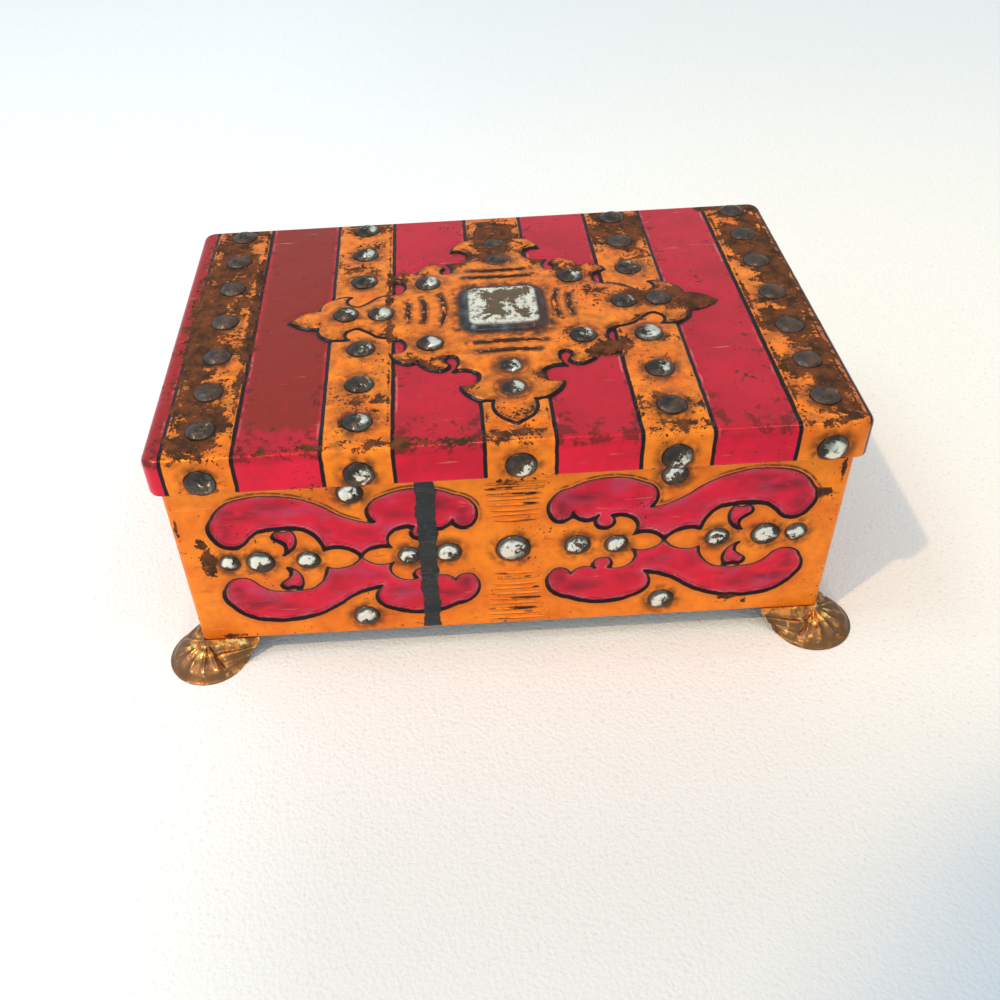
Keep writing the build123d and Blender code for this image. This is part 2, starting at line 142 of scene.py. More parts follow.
# Sunk scroll fields of the walls, measured from the motif's axis and the wall's middle line
FIELD_MIDDLE = 36.5
FIELD_SHIFT_X = 1.0
MOTIF_MIDDLE = 44.2
FIELD_DEPTH = 0.8
FIELD_PINCH = (40.5, 0.0)
FIELD_ARCS = [
    ((43.4, 3.0), (46.5, 3.9)),
    ((48.5, 3.8), (50.0, 3.1)),
    ((51.2, 7.3), (55.0, 11.0)),
    ((60.5, 11.7), (66.0, 11.0)),
    ((67.9, 9.8), (69.6, 8.0)),
    ((75.0, 5.7), (78.2, 8.8)),
    ((79.2, 12.8), (77.5, 16.5)),
    ((73.9, 20.6), (69.0, 22.5)),
    ((57.5, 22.3), (47.0, 17.0)),
    ((42.0, 13.6), (36.0, 11.8)),
    ((37.6, 16.2), (34.0, 20.5)),
    ((25.0, 22.8), (15.0, 20.0)),
    ((9.3, 14.2), (11.0, 9.0)),
    ((14.1, 8.8), (15.7, 11.3)),
    ((18.6, 8.6), (22.5, 9.7)),
    ((22.0, 6.6), (24.2, 5.4)),
    ((26.7, 6.9), (26.0, 9.5)),
    ((29.6, 9.6), (32.0, 8.0)),
    ((33.1, 5.2), (32.0, 2.7)),
    ((36.0, 3.3), FIELD_PINCH),
]
DROP_SHOULDER = (58.0, 10.8)
DROP_ARCS = [
    ((57.0, 7.2), (59.3, 3.1)),
    ((59.9, 2.6), (61.0, 2.3)),
    ((59.9, 4.2), (60.2, 5.9)),
    ((61.3, 6.9), (62.6, 7.9)),
    ((63.0, 9.4), (61.4, 10.5)),
    ((59.7, 10.2), DROP_SHOULDER),
]
WALL_STUDS = [
    (17.2, 0.0, 3.1), (27.6, -0.4, 2.8), (54.6, 0.0, 2.8), (67.4, 0.2, 3.4), (75.6, 0.4, 2.6),
    (41.3, 22.6, 3.1), (41.3, -22.8, 3.2),
]
MIDDLE_STUD_RADIUS = 4.2

# Hinges
HINGE_X = 45.0
HINGE_Y = 58.55
HINGE_Z = 64.3
BARREL_RADIUS = 1.05
TONGUE_HALF_WIDTH = 5.0
NOTCH_HALF_WIDTH = 12.7
NOTCH_TOP = 65.65

# Feet
FOOT_WING = 16.0
FOOT_RIM_RADIUS = 11.35
FOOT_RIM_INSET = 0.7
FOOT_RIM_SWEEP = 242.0
FOOT_FAN_SWEEP = 168.0
FOOT_RIDGES = 6
FOOT_RIDGE_LIFT = 0.42
FOOT_NECK_RADIUS = 1.2
FOOT_PROFILE = [(0.0, 1.0), (0.06, 0.8), (0.28, 0.62), (0.55, 0.52), (0.82, 0.3), (1.0, 0.0)]

# Black strip stuck down the front wall
STRIP_X = -21.85
STRIP_HALF_WIDTH = 2.3
STRIP_TOP = 64.5
STRIP_BOTTOM = 8.0
STRIP_THICKNESS = 0.15
STRIP_CREASES = [
    (45.6, 0.45, 0.5), (43.4, 0.5, -0.4), (41.6, 0.3, 0.3), (29.2, 0.5, 0.3), (27.2, 0.4, -0.5),
]

# Camera, found from the corners of the box in the photograph
CAMERA_PLACE = (-13.63, -261.07, 233.58)
CAMERA_AZIMUTH = 0.268
CAMERA_DOWN = 41.309
CAMERA_ROLL = -3.069
CAMERA_LENS = 38.22
CAMERA_SHIFT = (0.0408, 0.0009)
CAMERA_SENSOR = 36.0

# Lamps: place, width, power and colour; the box's shadow in the photograph gives the ceiling lamp's place
LAMPS = {
    "ceiling_lamp": ((-464.0, -442.0, 1010.0), 22.0, 5.4, (1.0, 0.68, 0.36)),
    "window": ((-600.0, -50.0, 1050.0), 300.0, 2.4, (0.78, 0.93, 1.0)),
    "far_lamp": ((420.0, -300.0, 1100.0), 120.0, 0.7, (1.0, 0.92, 0.82)),
    "overhead_lamp": ((0.0, -100.0, 1100.0), 30.0, 1.0, (1.0, 0.86, 0.72)),
}
LAMP_AIM = (0.0, 0.0, 30.0)
SKY_COLOUR = (0.83, 0.94, 1.0, 1.0)
FLOOR_HALF = 4000.0

# Painted distances are cut off at this depth, and corners lie this far along the walls
FAR_INSIDE = 5.0
OFF_WALL = 200.0

# Cells of the sheets; an inner face has one cell where the outer face has three, each way
COARSER = 3
LID_CELLS = (288, 186)
WALL_CELLS = (288, 159, 240, 159)
FIELD_HEIGHTS = (13.0, 60.4)
FIELD_CELLS = 75

# Outward directions of the front, right, back and left wall, and the number that stands for a round corner
WALLS = [(0, -1), (1, 0), (0, 1), (-1, 0)]
ROUND_CORNER = 4


def srgb(red, green, blue):
    """Linear colour of a colour written as it looks, from 0 to 255."""
    linear = []
    for part in (red, green, blue):
        share = part / 255
        linear.append(share / 12.92 if share <= 0.04045 else ((share + 0.055) / 1.055) ** 2.4)
    return (*linear, 1.0)


# Outlines and distances

def arc_points(start, arcs, step=0.5):
    """Points along a chain of arcs, each given by a point that it passes through and its end."""
    points = [start]
    ax, ay = start
    for (bx, by), (cx, cy) in arcs:
        turn = 2 * (ax * (by - cy) + bx * (cy - ay) + cx * (ay - by))
        a2, b2, c2 = ax * ax + ay * ay, bx * bx + by * by, cx * cx + cy * cy
        ox = (a2 * (by - cy) + b2 * (cy - ay) + c2 * (ay - by)) / turn
        oy = (a2 * (cx - bx) + b2 * (ax - cx) + c2 * (bx - ax)) / turn
        first = math.atan2(ay - oy, ax - ox)
        middle = (math.atan2(by - oy, bx - ox) - first) % math.tau
        sweep = (math.atan2(cy - oy, cx - ox) - first) % math.tau
        if middle > sweep:
            sweep -= math.tau
        radius = math.hypot(ax - ox, ay - oy)
        pieces = max(3, math.ceil(abs(sweep) * radius / step))
        for number in range(1, pieces + 1):
            angle = first + sweep * number / pieces
            points.append((ox + radius * math.cos(angle), oy + radius * math.sin(angle)))
        ax, ay = cx, cy
    return np.array(points)


def distance_inside(x, y, outline, line_count=None):
    """Distance from each point to an outline's first lines, above zero inside the closed outline."""
    after = np.roll(outline, -1, axis=0)
    nearest = np.full(x.shape, FAR_INSIDE ** 2)
    inside = np.zeros(x.shape, bool)
    for number, ((ax, ay), (bx, by)) in enumerate(zip(outline, after)):
        if line_count is None or number < line_count:
            run_x, run_y = bx - ax, by - ay
            length = run_x * run_x + run_y * run_y
            share = np.clip(((x - ax) * run_x + (y - ay) * run_y) / length, 0, 1)
            gap = (x - ax - share * run_x) ** 2 + (y - ay - share * run_y) ** 2
            nearest = np.minimum(nearest, gap)
        if ay != by:
            crosses = (ay > y) != (by > y)
            inside ^= crosses & (x < (bx - ax) * (y - ay) / (by - ay) + ax)
    return np.sqrt(nearest) * np.where(inside, 1, -1)


def box_distance(x, y, half_x, half_y, corner=0.0):
    """Distance to a round-cornered rectangle round the origin, above zero inside it."""
    dx = np.abs(x) - half_x + corner
    dy = np.abs(y) - half_y + corner
    outside = np.hypot(np.maximum(dx, 0), np.maximum(dy, 0))
    return corner - outside - np.minimum(np.maximum(dx, dy), 0)


def eased(value, low, high):
    """Smooth step from 0 at low to 1 at high."""
    share = np.clip((value - low) / (high - low), 0, 1)
    return share * share * (3 - 2 * share)


def cross_distance(x, y):
    """Distance to the cross ornament's outline, above zero inside it."""
    outline = arc_points(CROSS_ARM_TIP, CROSS_ARCS)
    closed = np.vstack([outline, [(0.0, 0.0)]])
    middle_x, middle_y = CROSS_MIDDLE
    return distance_inside(np.abs(x - middle_x), np.abs(y - middle_y), closed, len(outline) - 1)


def strap_distance(x):
    """Distance to the nearest strap's printed edge, above zero on a strap."""
    return np.max([STRAP_HALF_WIDTH - np.abs(x - centre) for centre in STRAP_CENTRES], axis=0)


def field_distance(along, level):
    """Distance to the edge of the crimson fields and drops of a wall, above zero inside them."""
    height = np.abs(level - FIELD_MIDDLE)
    field = distance_inside(along, height, arc_points(FIELD_PINCH, FIELD_ARCS))
    drop = distance_inside(along, height, arc_points(DROP_SHOULDER, DROP_ARCS, 0.3))
    return np.maximum(field, drop)


def patches(x, y, places):
    """Strength of soft worn patches, each with a middle, a reach each way and a strength."""
    strength = np.zeros(x.shape)
    for px, py, reach_x, reach_y, depth in places:
        gap = ((x - px) / reach_x) ** 2 + ((y - py) / reach_y) ** 2
        strength = np.maximum(strength, depth * np.exp(-gap))
    return strength


# Meshes

class Sheet:
    """Vertices, faces and per-vertex values of a piece of sheet metal, gathered part by part."""

    def __init__(self):
        self.points = []
        self.values = []
        self.faces = []
        self.finishes = []
        self.count = 0

    def add(self, points, **values):
        """Add a grid of points with its painted values, and return its grid of vertex numbers."""
        shape = points.shape[:-1]
        size = int(np.prod(shape))
        self.points.append(points.reshape(size, 3))
        self.values.append({name: np.broadcast_to(v, shape).reshape(size) for name, v in values.items()})
        numbers = np.arange(self.count, self.count + size).reshape(shape)
        self.count += size
        return numbers

    def weave(self, numbers, finish=0, closed=False, flip=False):
        """Fill a grid of vertex numbers with four-cornered faces."""
        if closed:
            numbers = np.hstack([numbers, numbers[:, :1]])
        corners = [numbers[:-1, :-1], numbers[:-1, 1:], numbers[1:, 1:], numbers[1:, :-1]]
        if flip:
            corners.reverse()
        quads = np.stack(corners, axis=-1).reshape(-1, 4)
        self.faces += quads.tolist()
        self.finishes += [finish] * len(quads)

    def stitch(self, fine, sparse, finish=0, flip=False):
        """Join a closed loop to one with a third as many vertices."""
        third = len(sparse)
        for number in range(third):
            f0, f1, f2 = fine[3 * number:3 * number + 3]
            f3 = fine[(3 * number + 3) % len(fine)]
            c0, c1 = sparse[number], sparse[(number + 1) % third]
            for face in ([f0, f1, c0], [f1, f2, c1, c0], [f2, f3, c1]):
                self.faces.append([int(v) for v in (reversed(face) if flip else face)])
                self.finishes.append(finish)

    def build(self, name, materials, smooth_angle=40):
        """Make the mesh and its object, with every painted value as a vertex attribute."""
        mesh = bpy.data.meshes.new(name)
        mesh.from_pydata((np.vstack(self.points) * MM).tolist(), [], self.faces)
        for material in materials:
            mesh.materials.append(material)
        mesh.polygons.foreach_set("material_index", self.finishes)
        for label in sorted({label for part in self.values for label in part}):
            column = [part.get(label, np.full(len(points), -FAR_INSIDE))
                      for part, points in zip(self.values, self.points)]
            mesh.attributes.new(label, "FLOAT", "POINT").data.foreach_set(
                "value", np.concatenate(column).astype(np.float32)
            )
        mesh.polygons.foreach_set("use_smooth", [True] * len(mesh.polygons))
        mesh.set_sharp_from_angle(angle=math.radians(smooth_angle))
        mesh.validate()
        return add_object(name, mesh)


def add_object(name, data):
    """Put a new object in the scene."""
    item = bpy.data.objects.new(name, data)
    bpy.context.scene.collection.objects.link(item)
    return item


def at_height(points, height):
    """Plan points with a height added to each."""
    return np.concatenate([points, np.broadcast_to(height, (len(points), 1))], -1)


def graded(*spans):
    """Rising values along one direction, from spans of a start, an end and a number of cells."""
    values = [spans[0][0]]
    for start, end, cells in spans:
        values += list(np.linspace(start, end, cells + 1)[1:])
    return np.array(values)


def lowest_nearby(values, reach):
    """Each value replaced by the lowest one within a number of cells, both ways."""
    for axis in (0, 1):
        padded = np.moveaxis(values, axis, 0)
        padded = np.concatenate([padded[:1]] * reach + [padded] + [padded[-1:]] * reach)
        size = len(padded) - 2 * reach
        lowest = np.min([padded[start:start + size] for start in range(2 * reach + 1)], axis=0)
        values = np.moveaxis(lowest, 0, axis)
    return values


def thinned(values):
    """Every third row and column of a grid."""
    return values[::COARSER, ::COARSER]


def border(numbers):
    """Outer loop of a grid of rows and columns, once round it."""
    return np.concatenate([numbers[0, :-1], numbers[:-1, -1], numbers[-1, :0:-1], numbers[:0:-1, 0]])


def rounded_plan(x, y, half_x, half_y, corner):
    """Plan points with the square corners drawn in to round ones, and their outward directions."""
    dx = np.clip(np.abs(x) - half_x + corner, 0, None)
    dy = np.clip(np.abs(y) - half_y + corner, 0, None)
    length = np.maximum(np.hypot(dx, dy), 1e-9)
    scale = np.maximum(dx, dy) / length
    plan_x = np.sign(x) * (np.abs(x) - dx + dx * scale)
    plan_y = np.sign(y) * (np.abs(y) - dy + dy * scale)
    return plan_x, plan_y, np.sign(x) * dx / length, np.sign(y) * dy / length


# Lid

PRINT, TIN = 0, 1
LID_WORN = [
    (-83.5, 0.0, 4.5, 90.0, 0.94), (-68.8, 5.0, 2.6, 60.0, 0.9), (-77.0, -54.5, 9.0, 6.0, 1.05),
    (-76.0, 56.0, 10.0, 5.0, 1.0), (-86.5, 20.0, 2.0, 40.0, 0.6), (-37.0, 57.0, 10.0, 6.0, 1.0),
    (-29.3, 5.0, 2.2, 50.0, 0.74), (-37.0, -56.0, 10.0, 3.0, 0.8), (3.0, -55.5, 10.0, 3.0, 0.9),
    (42.0, 56.0, 10.0, 4.5, 1.0), (42.0, -55.5, 10.0, 3.5, 0.8), (87.2, 0.0, 2.4, 70.0, 0.86),
    (74.0, 57.0, 7.0, 4.0, 1.1), (85.0, 56.0, 6.0, 6.0, 1.1), (81.0, -54.0, 9.0, 4.0, 0.72),
    (72.6, -10.0, 1.6, 60.0, 0.66), (-18.0, -27.0, 5.0, 2.0, 0.6), (26.0, -24.5, 6.0, 2.0, 0.6),
    (-20.0, -49.0, 9.0, 5.0, 0.44), (-12.0, -53.0, 6.0, 3.0, 0.56), (-22.0, 49.0, 10.0, 9.0, 0.3),
    (66.0, -20.0, 4.0, 15.0, 0.54), (63.0, -37.0, 6.0, 8.0, 0.5), (60.0, 16.0, 5.0, 9.0, 0.5),
    (-58.0, -53.5, 10.0, 3.0, 0.46), (61.0, 30.0, 3.0, 12.0, 0.35), (22.0, 51.0, 9.0, 6.0, 0.3),
    (-30.0, -57.0, 62.0, 3.0, 0.72), (40.0, -57.4, 22.0, 2.2, 0.62), (80.0, -58.2, 11.0, 1.8, 0.66),
    (-88.6, -25.0, 1.8, 34.0, 0.4), (89.0, 10.0, 1.4, 60.0, 0.55),
]
STRAP_WORN = [
    (-80.0, 0.0, 7.0, 120.0, 1.02), (-74.0, 20.0, 7.0, 70.0, 0.84), (-74.0, -45.0, 7.0, 12.0, 0.96),
    (-37.0, -42.0, 12.0, 16.0, 0.62), (-33.0, -18.0, 7.0, 12.0, 0.6), (-37.0, 34.0, 12.0, 22.0, 0.62),
    (-37.0, 55.0, 12.0, 6.0, 0.95), (42.0, 46.0, 14.0, 18.0, 0.96), (45.0, 24.0, 9.0, 12.0, 0.68),
    (42.0, -48.0, 14.0, 7.0, 0.8), (44.0, -32.0, 8.0, 10.0, 0.6), (42.0, -15.0, 12.0, 14.0, 0.56),
    (83.0, 0.0, 8.0, 120.0, 1.04), (76.0, 34.0, 7.0, 26.0, 0.92), (77.0, -10.0, 8.0, 14.0, 0.9),
    (76.0, -38.0, 7.0, 16.0, 0.72), (3.0, 44.0, 12.0, 16.0, 1.05), (0.0, 33.0, 8.0, 6.0, 0.74),
    (3.0, -49.0, 10.0, 7.0, 0.62), (34.0, 6.0, 14.0, 9.0, 0.8), (30.0, -21.0, 9.0, 6.0, 0.95),
    (22.0, -14.0, 6.0, 5.0, 0.62), (24.0, 20.0, 9.0, 8.0, 0.86), (-22.0, 22.0, 8.0, 5.0, 0.66),
    (-6.0, 30.0, 12.0, 6.0, 0.9), (15.0, 29.0, 9.0, 5.0, 0.84), (-20.0, -23.0, 9.0, 4.0, 0.72),
    (-30.0, -4.0, 5.0, 5.0, 0.55), (-56.0, 1.0, 7.0, 4.0, 0.6), (56.0, 2.0, 10.0, 9.0, 1.5),
    (44.0, 4.0, 8.0, 7.0, 1.0), (12.0, -32.0, 6.0, 4.0, 0.74), (-8.0, -37.0, 6.0, 3.0, 0.62),
]
STAINED_PANEL = (-56.5, 9.5)
STUDS_DULL = [
    (-76.0, 0.0, 14.0, 150.0, 1.1), (-37.0, 0.0, 9.0, 90.0, 0.76), (42.0, 40.0, 14.0, 30.0, 1.15),
    (42.0, -30.0, 10.0, 14.0, 0.76), (42.0, -50.0, 10.0, 10.0, 1.0), (80.0, 0.0, 14.0, 150.0, 1.15),
    (3.0, 34.0, 10.0, 14.0, 1.1), (3.0, -34.0, 10.0, 12.0, 0.72), (-42.0, 0.0, 10.0, 6.0, 0.76),
    (-18.0, 0.0, 8.0, 30.0, 0.7), (26.0, 0.0, 8.0, 30.0, 0.95), (44.0, 1.0, 12.0, 8.0, 1.1),
]
SKIRT_STUDS_DULL = [0.8, 0.7, 0.68, 0.74, 0.4]
WALL_STUDS_DULL = 0.52


def boss_distance(x, y):
    """Distance to the foot of the square boss, above zero inside it."""
    middle_x, middle_y = CROSS_MIDDLE
    return box_distance(x - middle_x, y - middle_y, BOSS_HALF_WIDTH, BOSS_HALF_WIDTH, BOSS_CORNER)


def lid_relief(x, y, cross, boss):
    """Height of the embossing above the lid's flat top."""
    strap = np.minimum(strap_distance(x), STRAP_HALF_LENGTH - np.abs(y - STRAP_MIDDLE_Y))
    raised = STRAP_RELIEF * eased(strap, -0.1, 1.3)
    cross_share = 0.82 * eased(cross, -0.4, 0.9) + 0.18 * eased(cross, 0.9, 6.0)
    raised = np.maximum(raised, CROSS_RELIEF * cross_share)
    crown = BOSS_PEAK * np.clip(boss - BOSS_SLOPE, 0, None) / 10
    raised = np.maximum(raised, BOSS_RELIEF * eased(boss, -0.3, BOSS_SLOPE) + crown)
    gutter = 0.12 * np.exp(-((strap + 0.9) / 0.7) ** 2) + 0.16 * np.exp(-((cross + 1.1) / 0.7) ** 2)
    edge = np.minimum(LID_HALF_X - LID_EDGE - np.abs(x), LID_HALF_Y - LID_EDGE - np.abs(y))
    return (raised - gutter * (raised < STRAP_RELIEF)) * eased(edge, 0.0, 1.3)


def lid_studs():
    """Middle and radius of each stud on the lid's top."""
    rows = zip(STRAP_CENTRES, STUD_ROWS_OF_STRAPS)
    studs = [(centre, row, STUD_RADIUS) for centre, places in rows for row in places]
    middle_x, middle_y = CROSS_MIDDLE
    for x, y in CROSS_STUDS:
        for side_x in (1, -1) if x else (1,):
            for side_y in (1, -1) if y > CROSS_STUD_RADIUS else (1,):
                studs.append((middle_x + side_x * x, middle_y + side_y * y, CROSS_STUD_RADIUS))
    return sorted(studs)


def rim_distance(x, y, studs):
    """Distance outside the rim of the nearest stud."""
    return np.min([np.hypot(x - sx, y - sy) - radius for sx, sy, radius in studs], axis=0)


def rib_distance(x, y, lines):
    """Distance to the nearest of a set of open lines."""
    gaps = [np.abs(distance_inside(x, y, np.array(line)[:, :2], len(line) - 1)) for line in lines]
    return np.min(gaps, axis=0)


def bend_of(relief):
    """Hollows above zero and crests below zero, from how the relief curves."""
    padded = np.pad(relief, 1, mode="edge")
    around = padded[:-2, 1:-1] + padded[2:, 1:-1] + padded[1:-1, :-2] + padded[1:-1, 2:]
    return np.clip((around / 4 - relief) * 12, -1, 1)


def skirt_level(x, y, level):
    """Height on the skirt, raised over the hinge notches in the back skirt."""
    in_notch = (y > LID_HALF_Y - LID_CORNER) & (np.abs(np.abs(x) - HINGE_X) < NOTCH_HALF_WIDTH)
    edge_start = LID_TOP - LID_EDGE
    squeeze = (edge_start - NOTCH_TOP) / (edge_start - SKIRT_BOTTOM)
    return np.where(in_notch & (level < edge_start), edge_start - (edge_start - level) * squeeze, level)


def add_band(sheet, start, plan, profile, paint, finish):
    """Rows round the lid below a loop of vertices; returns the numbers of the last row."""
    x, y, out_x, out_y = plan
    rows = [start] if start is not None else []
    for out, level in profile:
        px = x + out_x * out
        py = y + out_y * out
        place = np.stack([px, py, skirt_level(px, py, np.full(x.shape, level))], -1)
        rows.append(sheet.add(place, **paint(px, py, place[:, 2])))
    sheet.weave(np.stack(rows), finish, closed=True, flip=True)
    return rows[-1]


def arc_profile(middle_out, middle_level, radius, start, end, cells):
    """Points of a round edge in side view, as how far out and how high."""
    angles = np.radians(np.linspace(start, end, cells + 1))
    return [(middle_out + radius * math.cos(a), middle_level + radius * math.sin(a)) for a in angles]


def skirt_paint(x, y, level):
    """Painted values of the lid's skirts and round edge."""
    studs = [(centre, SKIRT_STUD_LEVEL, STUD_RADIUS) for centre in STRAP_CENTRES]
    over_edge = eased(level, 70.0, 73.5)
    low_edge = 0.45 * eased(-level, -64.6, -63.4)
    corner = 0.35 * eased(np.abs(x), 88.0, 90.0) * eased(np.abs(y), 54.0, 58.0)
    return {
        "strap": strap_distance(x),
        "rim": np.where(np.abs(x) < 88.5, rim_distance(x, level, studs), FAR_INSIDE),
        "worn": np.maximum(np.maximum(patches(x, y, LID_WORN) * over_edge, low_edge), corner),
        "rib": np.full(x.shape, FAR_INSIDE),
        "bend": np.full(x.shape, -0.25) * over_edge,
    }


def no_paint(x, y, level):
    """Painted values of bare metal."""
    return {"strap": np.full(x.shape, -FAR_INSIDE)}


def add_tongue(sheet, middle_x):
    """Tongue of the back skirt, rolled round a hinge pin."""
    radius = BARREL_RADIUS - SHEET / 2
    angles = np.radians(np.linspace(0, -300, 26))
    y = np.concatenate([[HINGE_Y + radius] * 2, HINGE_Y + radius * np.cos(angles)])
    z = np.concatenate([[NOTCH_TOP + 1.2, NOTCH_TOP], HINGE_Z + radius * np.sin(angles)])
    out_y = np.concatenate([[1.0, 1.0], np.cos(angles)])
    out_z = np.concatenate([[0.0, 0.0], np.sin(angles)])
    half = SHEET / 2
    section_y = np.concatenate([y + out_y * half, (y - out_y * half)[::-1]])
    section_z = np.concatenate([z + out_z * half, (z - out_z * half)[::-1]])
    places = []
    for side in (-1, 1):
        x = np.full(section_y.shape, middle_x + side * TONGUE_HALF_WIDTH)
        places.append(np.stack([x, section_y, section_z], -1))
    numbers = sheet.add(np.stack(places))
    sheet.weave(numbers, TIN, closed=True)
    count = len(y)
    for row, flip in ((0, True), (1, False)):
        cap = np.stack([numbers[row, :count], numbers[row, count:][::-1]])
        sheet.weave(cap, TIN, flip=flip)


def make_lid_shell(materials):
    """Printed and embossed lid with its hemmed skirt, its bare inside and its two hinge tongues."""
    sheet = Sheet()
    flat_x, flat_y, corner = LID_HALF_X - LID_EDGE, LID_HALF_Y - LID_EDGE, LID_CORNER - LID_EDGE
    lines = []
    for flat, cells in zip((flat_x, flat_y), LID_CELLS):
        start, end = corner - flat, flat - corner
        lines.append(graded((-flat, start, COARSER), (start, end, cells), (end, flat, COARSER)))
    x, y, out_x, out_y = rounded_plan(*np.meshgrid(*lines), flat_x, flat_y, corner)
    strap, cross, boss = strap_distance(x), cross_distance(x, y), boss_distance(x, y)
    relief = lid_relief(x, y, cross, boss)
    on_gold = np.maximum(strap, cross) > -0.2
    worn = np.maximum(patches(x, y, LID_WORN), patches(x, y, STRAP_WORN) * on_gold)
    top = sheet.add(
        np.stack([x, y, LID_TOP + relief], -1),
        strap=strap, cross=cross, boss=boss, rim=rim_distance(x, y, lid_studs()), worn=worn,
        rib=rib_distance(x, y, lid_rib_lines()), bend=bend_of(relief),
    )
    sheet.weave(top, PRINT)
    plan = [border(part) for part in (x, y, out_x, out_y)]
    skirt = arc_profile(0, LID_TOP - LID_EDGE, LID_EDGE, 90, 0, 5)[1:]
    skirt += [(LID_EDGE, level) for level in np.linspace(LID_TOP - LID_EDGE, SKIRT_BOTTOM + SHEET, 15)[1:]]
    skirt += arc_profile(LID_EDGE - SHEET, SKIRT_BOTTOM + SHEET, SHEET, 0, -180, 4)[1:]
    hem_loop = add_band(sheet, border(top), plan, skirt, skirt_paint, PRINT)

    under = LID_TOP - SHEET + thinned(lowest_nearby(relief, COARSER))
    ceiling = sheet.add(np.stack([thinned(x), thinned(y), under], -1))
    sheet.weave(ceiling, TIN, flip=True)
    plan = [border(thinned(part)) for part in (x, y, out_x, out_y)]
    lining = [(LID_EDGE - 2 * SHEET, SKIRT_BOTTOM + 1.0), (LID_EDGE - 2 * SHEET, LID_HEM_TOP)]
    lining += [(LID_EDGE - SHEET, LID_HEM_TOP + 0.1), (LID_EDGE - SHEET, 70.0)]
    lining += arc_profile(0, LID_TOP - LID_EDGE, LID_EDGE - SHEET, 0, 90, 3)[:-1]
    lower = sheet.count
    upper = add_band(sheet, None, plan, lining, no_paint, TIN)
    first = np.arange(lower, lower + len(plan[0]))
    sheet.stitch(hem_loop, first, TIN, flip=True)
    sheet.weave(np.stack([upper, border(ceiling)]), TIN, closed=True, flip=True)
    for side in (-1, 1):
        add_tongue(sheet, side * HINGE_X)
    return sheet.build("lid_shell", materials)


# Body

FRONT_WORN = [
    (-79.8, 37.0, 2.8, 6.5, 1.15), (-86.5, 52.0, 1.6, 12.0, 0.74), (87.0, 57.0, 2.8, 9.0, 1.2),
    (82.5, 50.5, 3.2, 2.6, 0.95), (87.6, 36.0, 1.6, 16.0, 1.05), (-80.6, 44.0, 1.8, 2.6, 1.0),
    (60.5, 12.5, 4.0, 2.0, 0.7), (-78.0, 8.5, 7.0, 1.5, 0.8), (66.0, 11.0, 3.0, 1.6, 0.55),
    (-55.0, 63.0, 12.0, 1.2, 0.5), (1.0, 60.5, 9.0, 3.0, 0.55), (3.0, 12.0, 8.0, 3.5, 0.45),
    (30.0, 61.5, 14.0, 1.5, 0.45), (-60.0, 8.2, 14.0, 1.0, 0.45), (40.0, 30.0, 4.0, 1.5, 0.3),
]
OTHER_WORN = [(-30.0, 12.0, 6.0, 3.0, 0.55), (25.0, 58.0, 8.0, 3.0, 0.45), (46.0, 30.0, 4.0, 7.0, 0.5)]
SHADE_SHIFT = 0.5
FIELD_SMUDGES = [
    (71.0, 16.5, 6.0, 2.2, 0.9), (63.0, 18.5, 6.0, 1.8, 0.6), (75.5, 11.0, 2.0, 4.0, 0.7),
    (19.0, 16.5, 6.0, 2.0, 0.8), (13.0, 12.5, 2.0, 3.5, 0.8), (30.0, 14.0, 4.0, 1.6, 0.5),
    (37.5, 8.0, 6.0, 1.5, 0.35), (49.0, 9.0, 2.5, 4.0, 0.35),
]


def body_columns():
    """Plan points once round the body, with outward directions, distance along each wall and motif."""
    half = np.array([BODY_HALF_X, BODY_HALF_Y])
    straight = half - BODY_CORNER
    directions = np.array(WALLS)
    parts = []
    for number, cells in enumerate(WALL_CELLS):
        out, onward = directions[number], directions[(number + 1) % 4]
        start, end = out * half - onward * straight, out * half + onward * straight
        points = start + (end - start) * (np.arange(cells)[:, None] / cells)
        along = points @ onward
        motif = along + MOTIF_MIDDLE if number % 2 else np.abs(along - FIELD_SHIFT_X)
        parts.append((points, np.tile(out, (cells, 1)), along, motif, np.full(cells, number)))

        angles = np.radians(90 * (number - 1) + 90 / COARSER * np.arange(COARSER))
        turned = np.stack([np.cos(angles), np.sin(angles)], -1)
        corner = (out + onward) * straight + BODY_CORNER * turned
        far = np.full(COARSER, OFF_WALL)
        parts.append((corner, turned, far, far, np.full(COARSER, ROUND_CORNER)))
    return [np.concatenate(column) for column in zip(*parts)]


def wall_studs(wall):
    """Middle and radius of each stud of a wall, as distance along the wall and height."""
    studs = []
    for along, level, radius in WALL_STUDS:
        height = FIELD_MIDDLE + level
        if wall in (1, 3):
            studs.append((along - MOTIF_MIDDLE, height, radius))
        elif wall == 0 or level <= 0:
            studs += [(FIELD_SHIFT_X + along, height, radius), (FIELD_SHIFT_X - along, height, radius)]
    if wall in (0, 2):
        studs.append((FIELD_SHIFT_X, FIELD_MIDDLE, MIDDLE_STUD_RADIUS))
    return studs


def motif_beside(along, motif, wall, shift):
    """Distance from the motif's axis at a point that lies a little further along the wall."""
    mirrored = (wall % 2 == 0) & (np.sign(along - FIELD_SHIFT_X * (1 - wall)) < 0)
    backward = mirrored | (wall == 3)
    return motif + np.where(backward, -shift, shift)


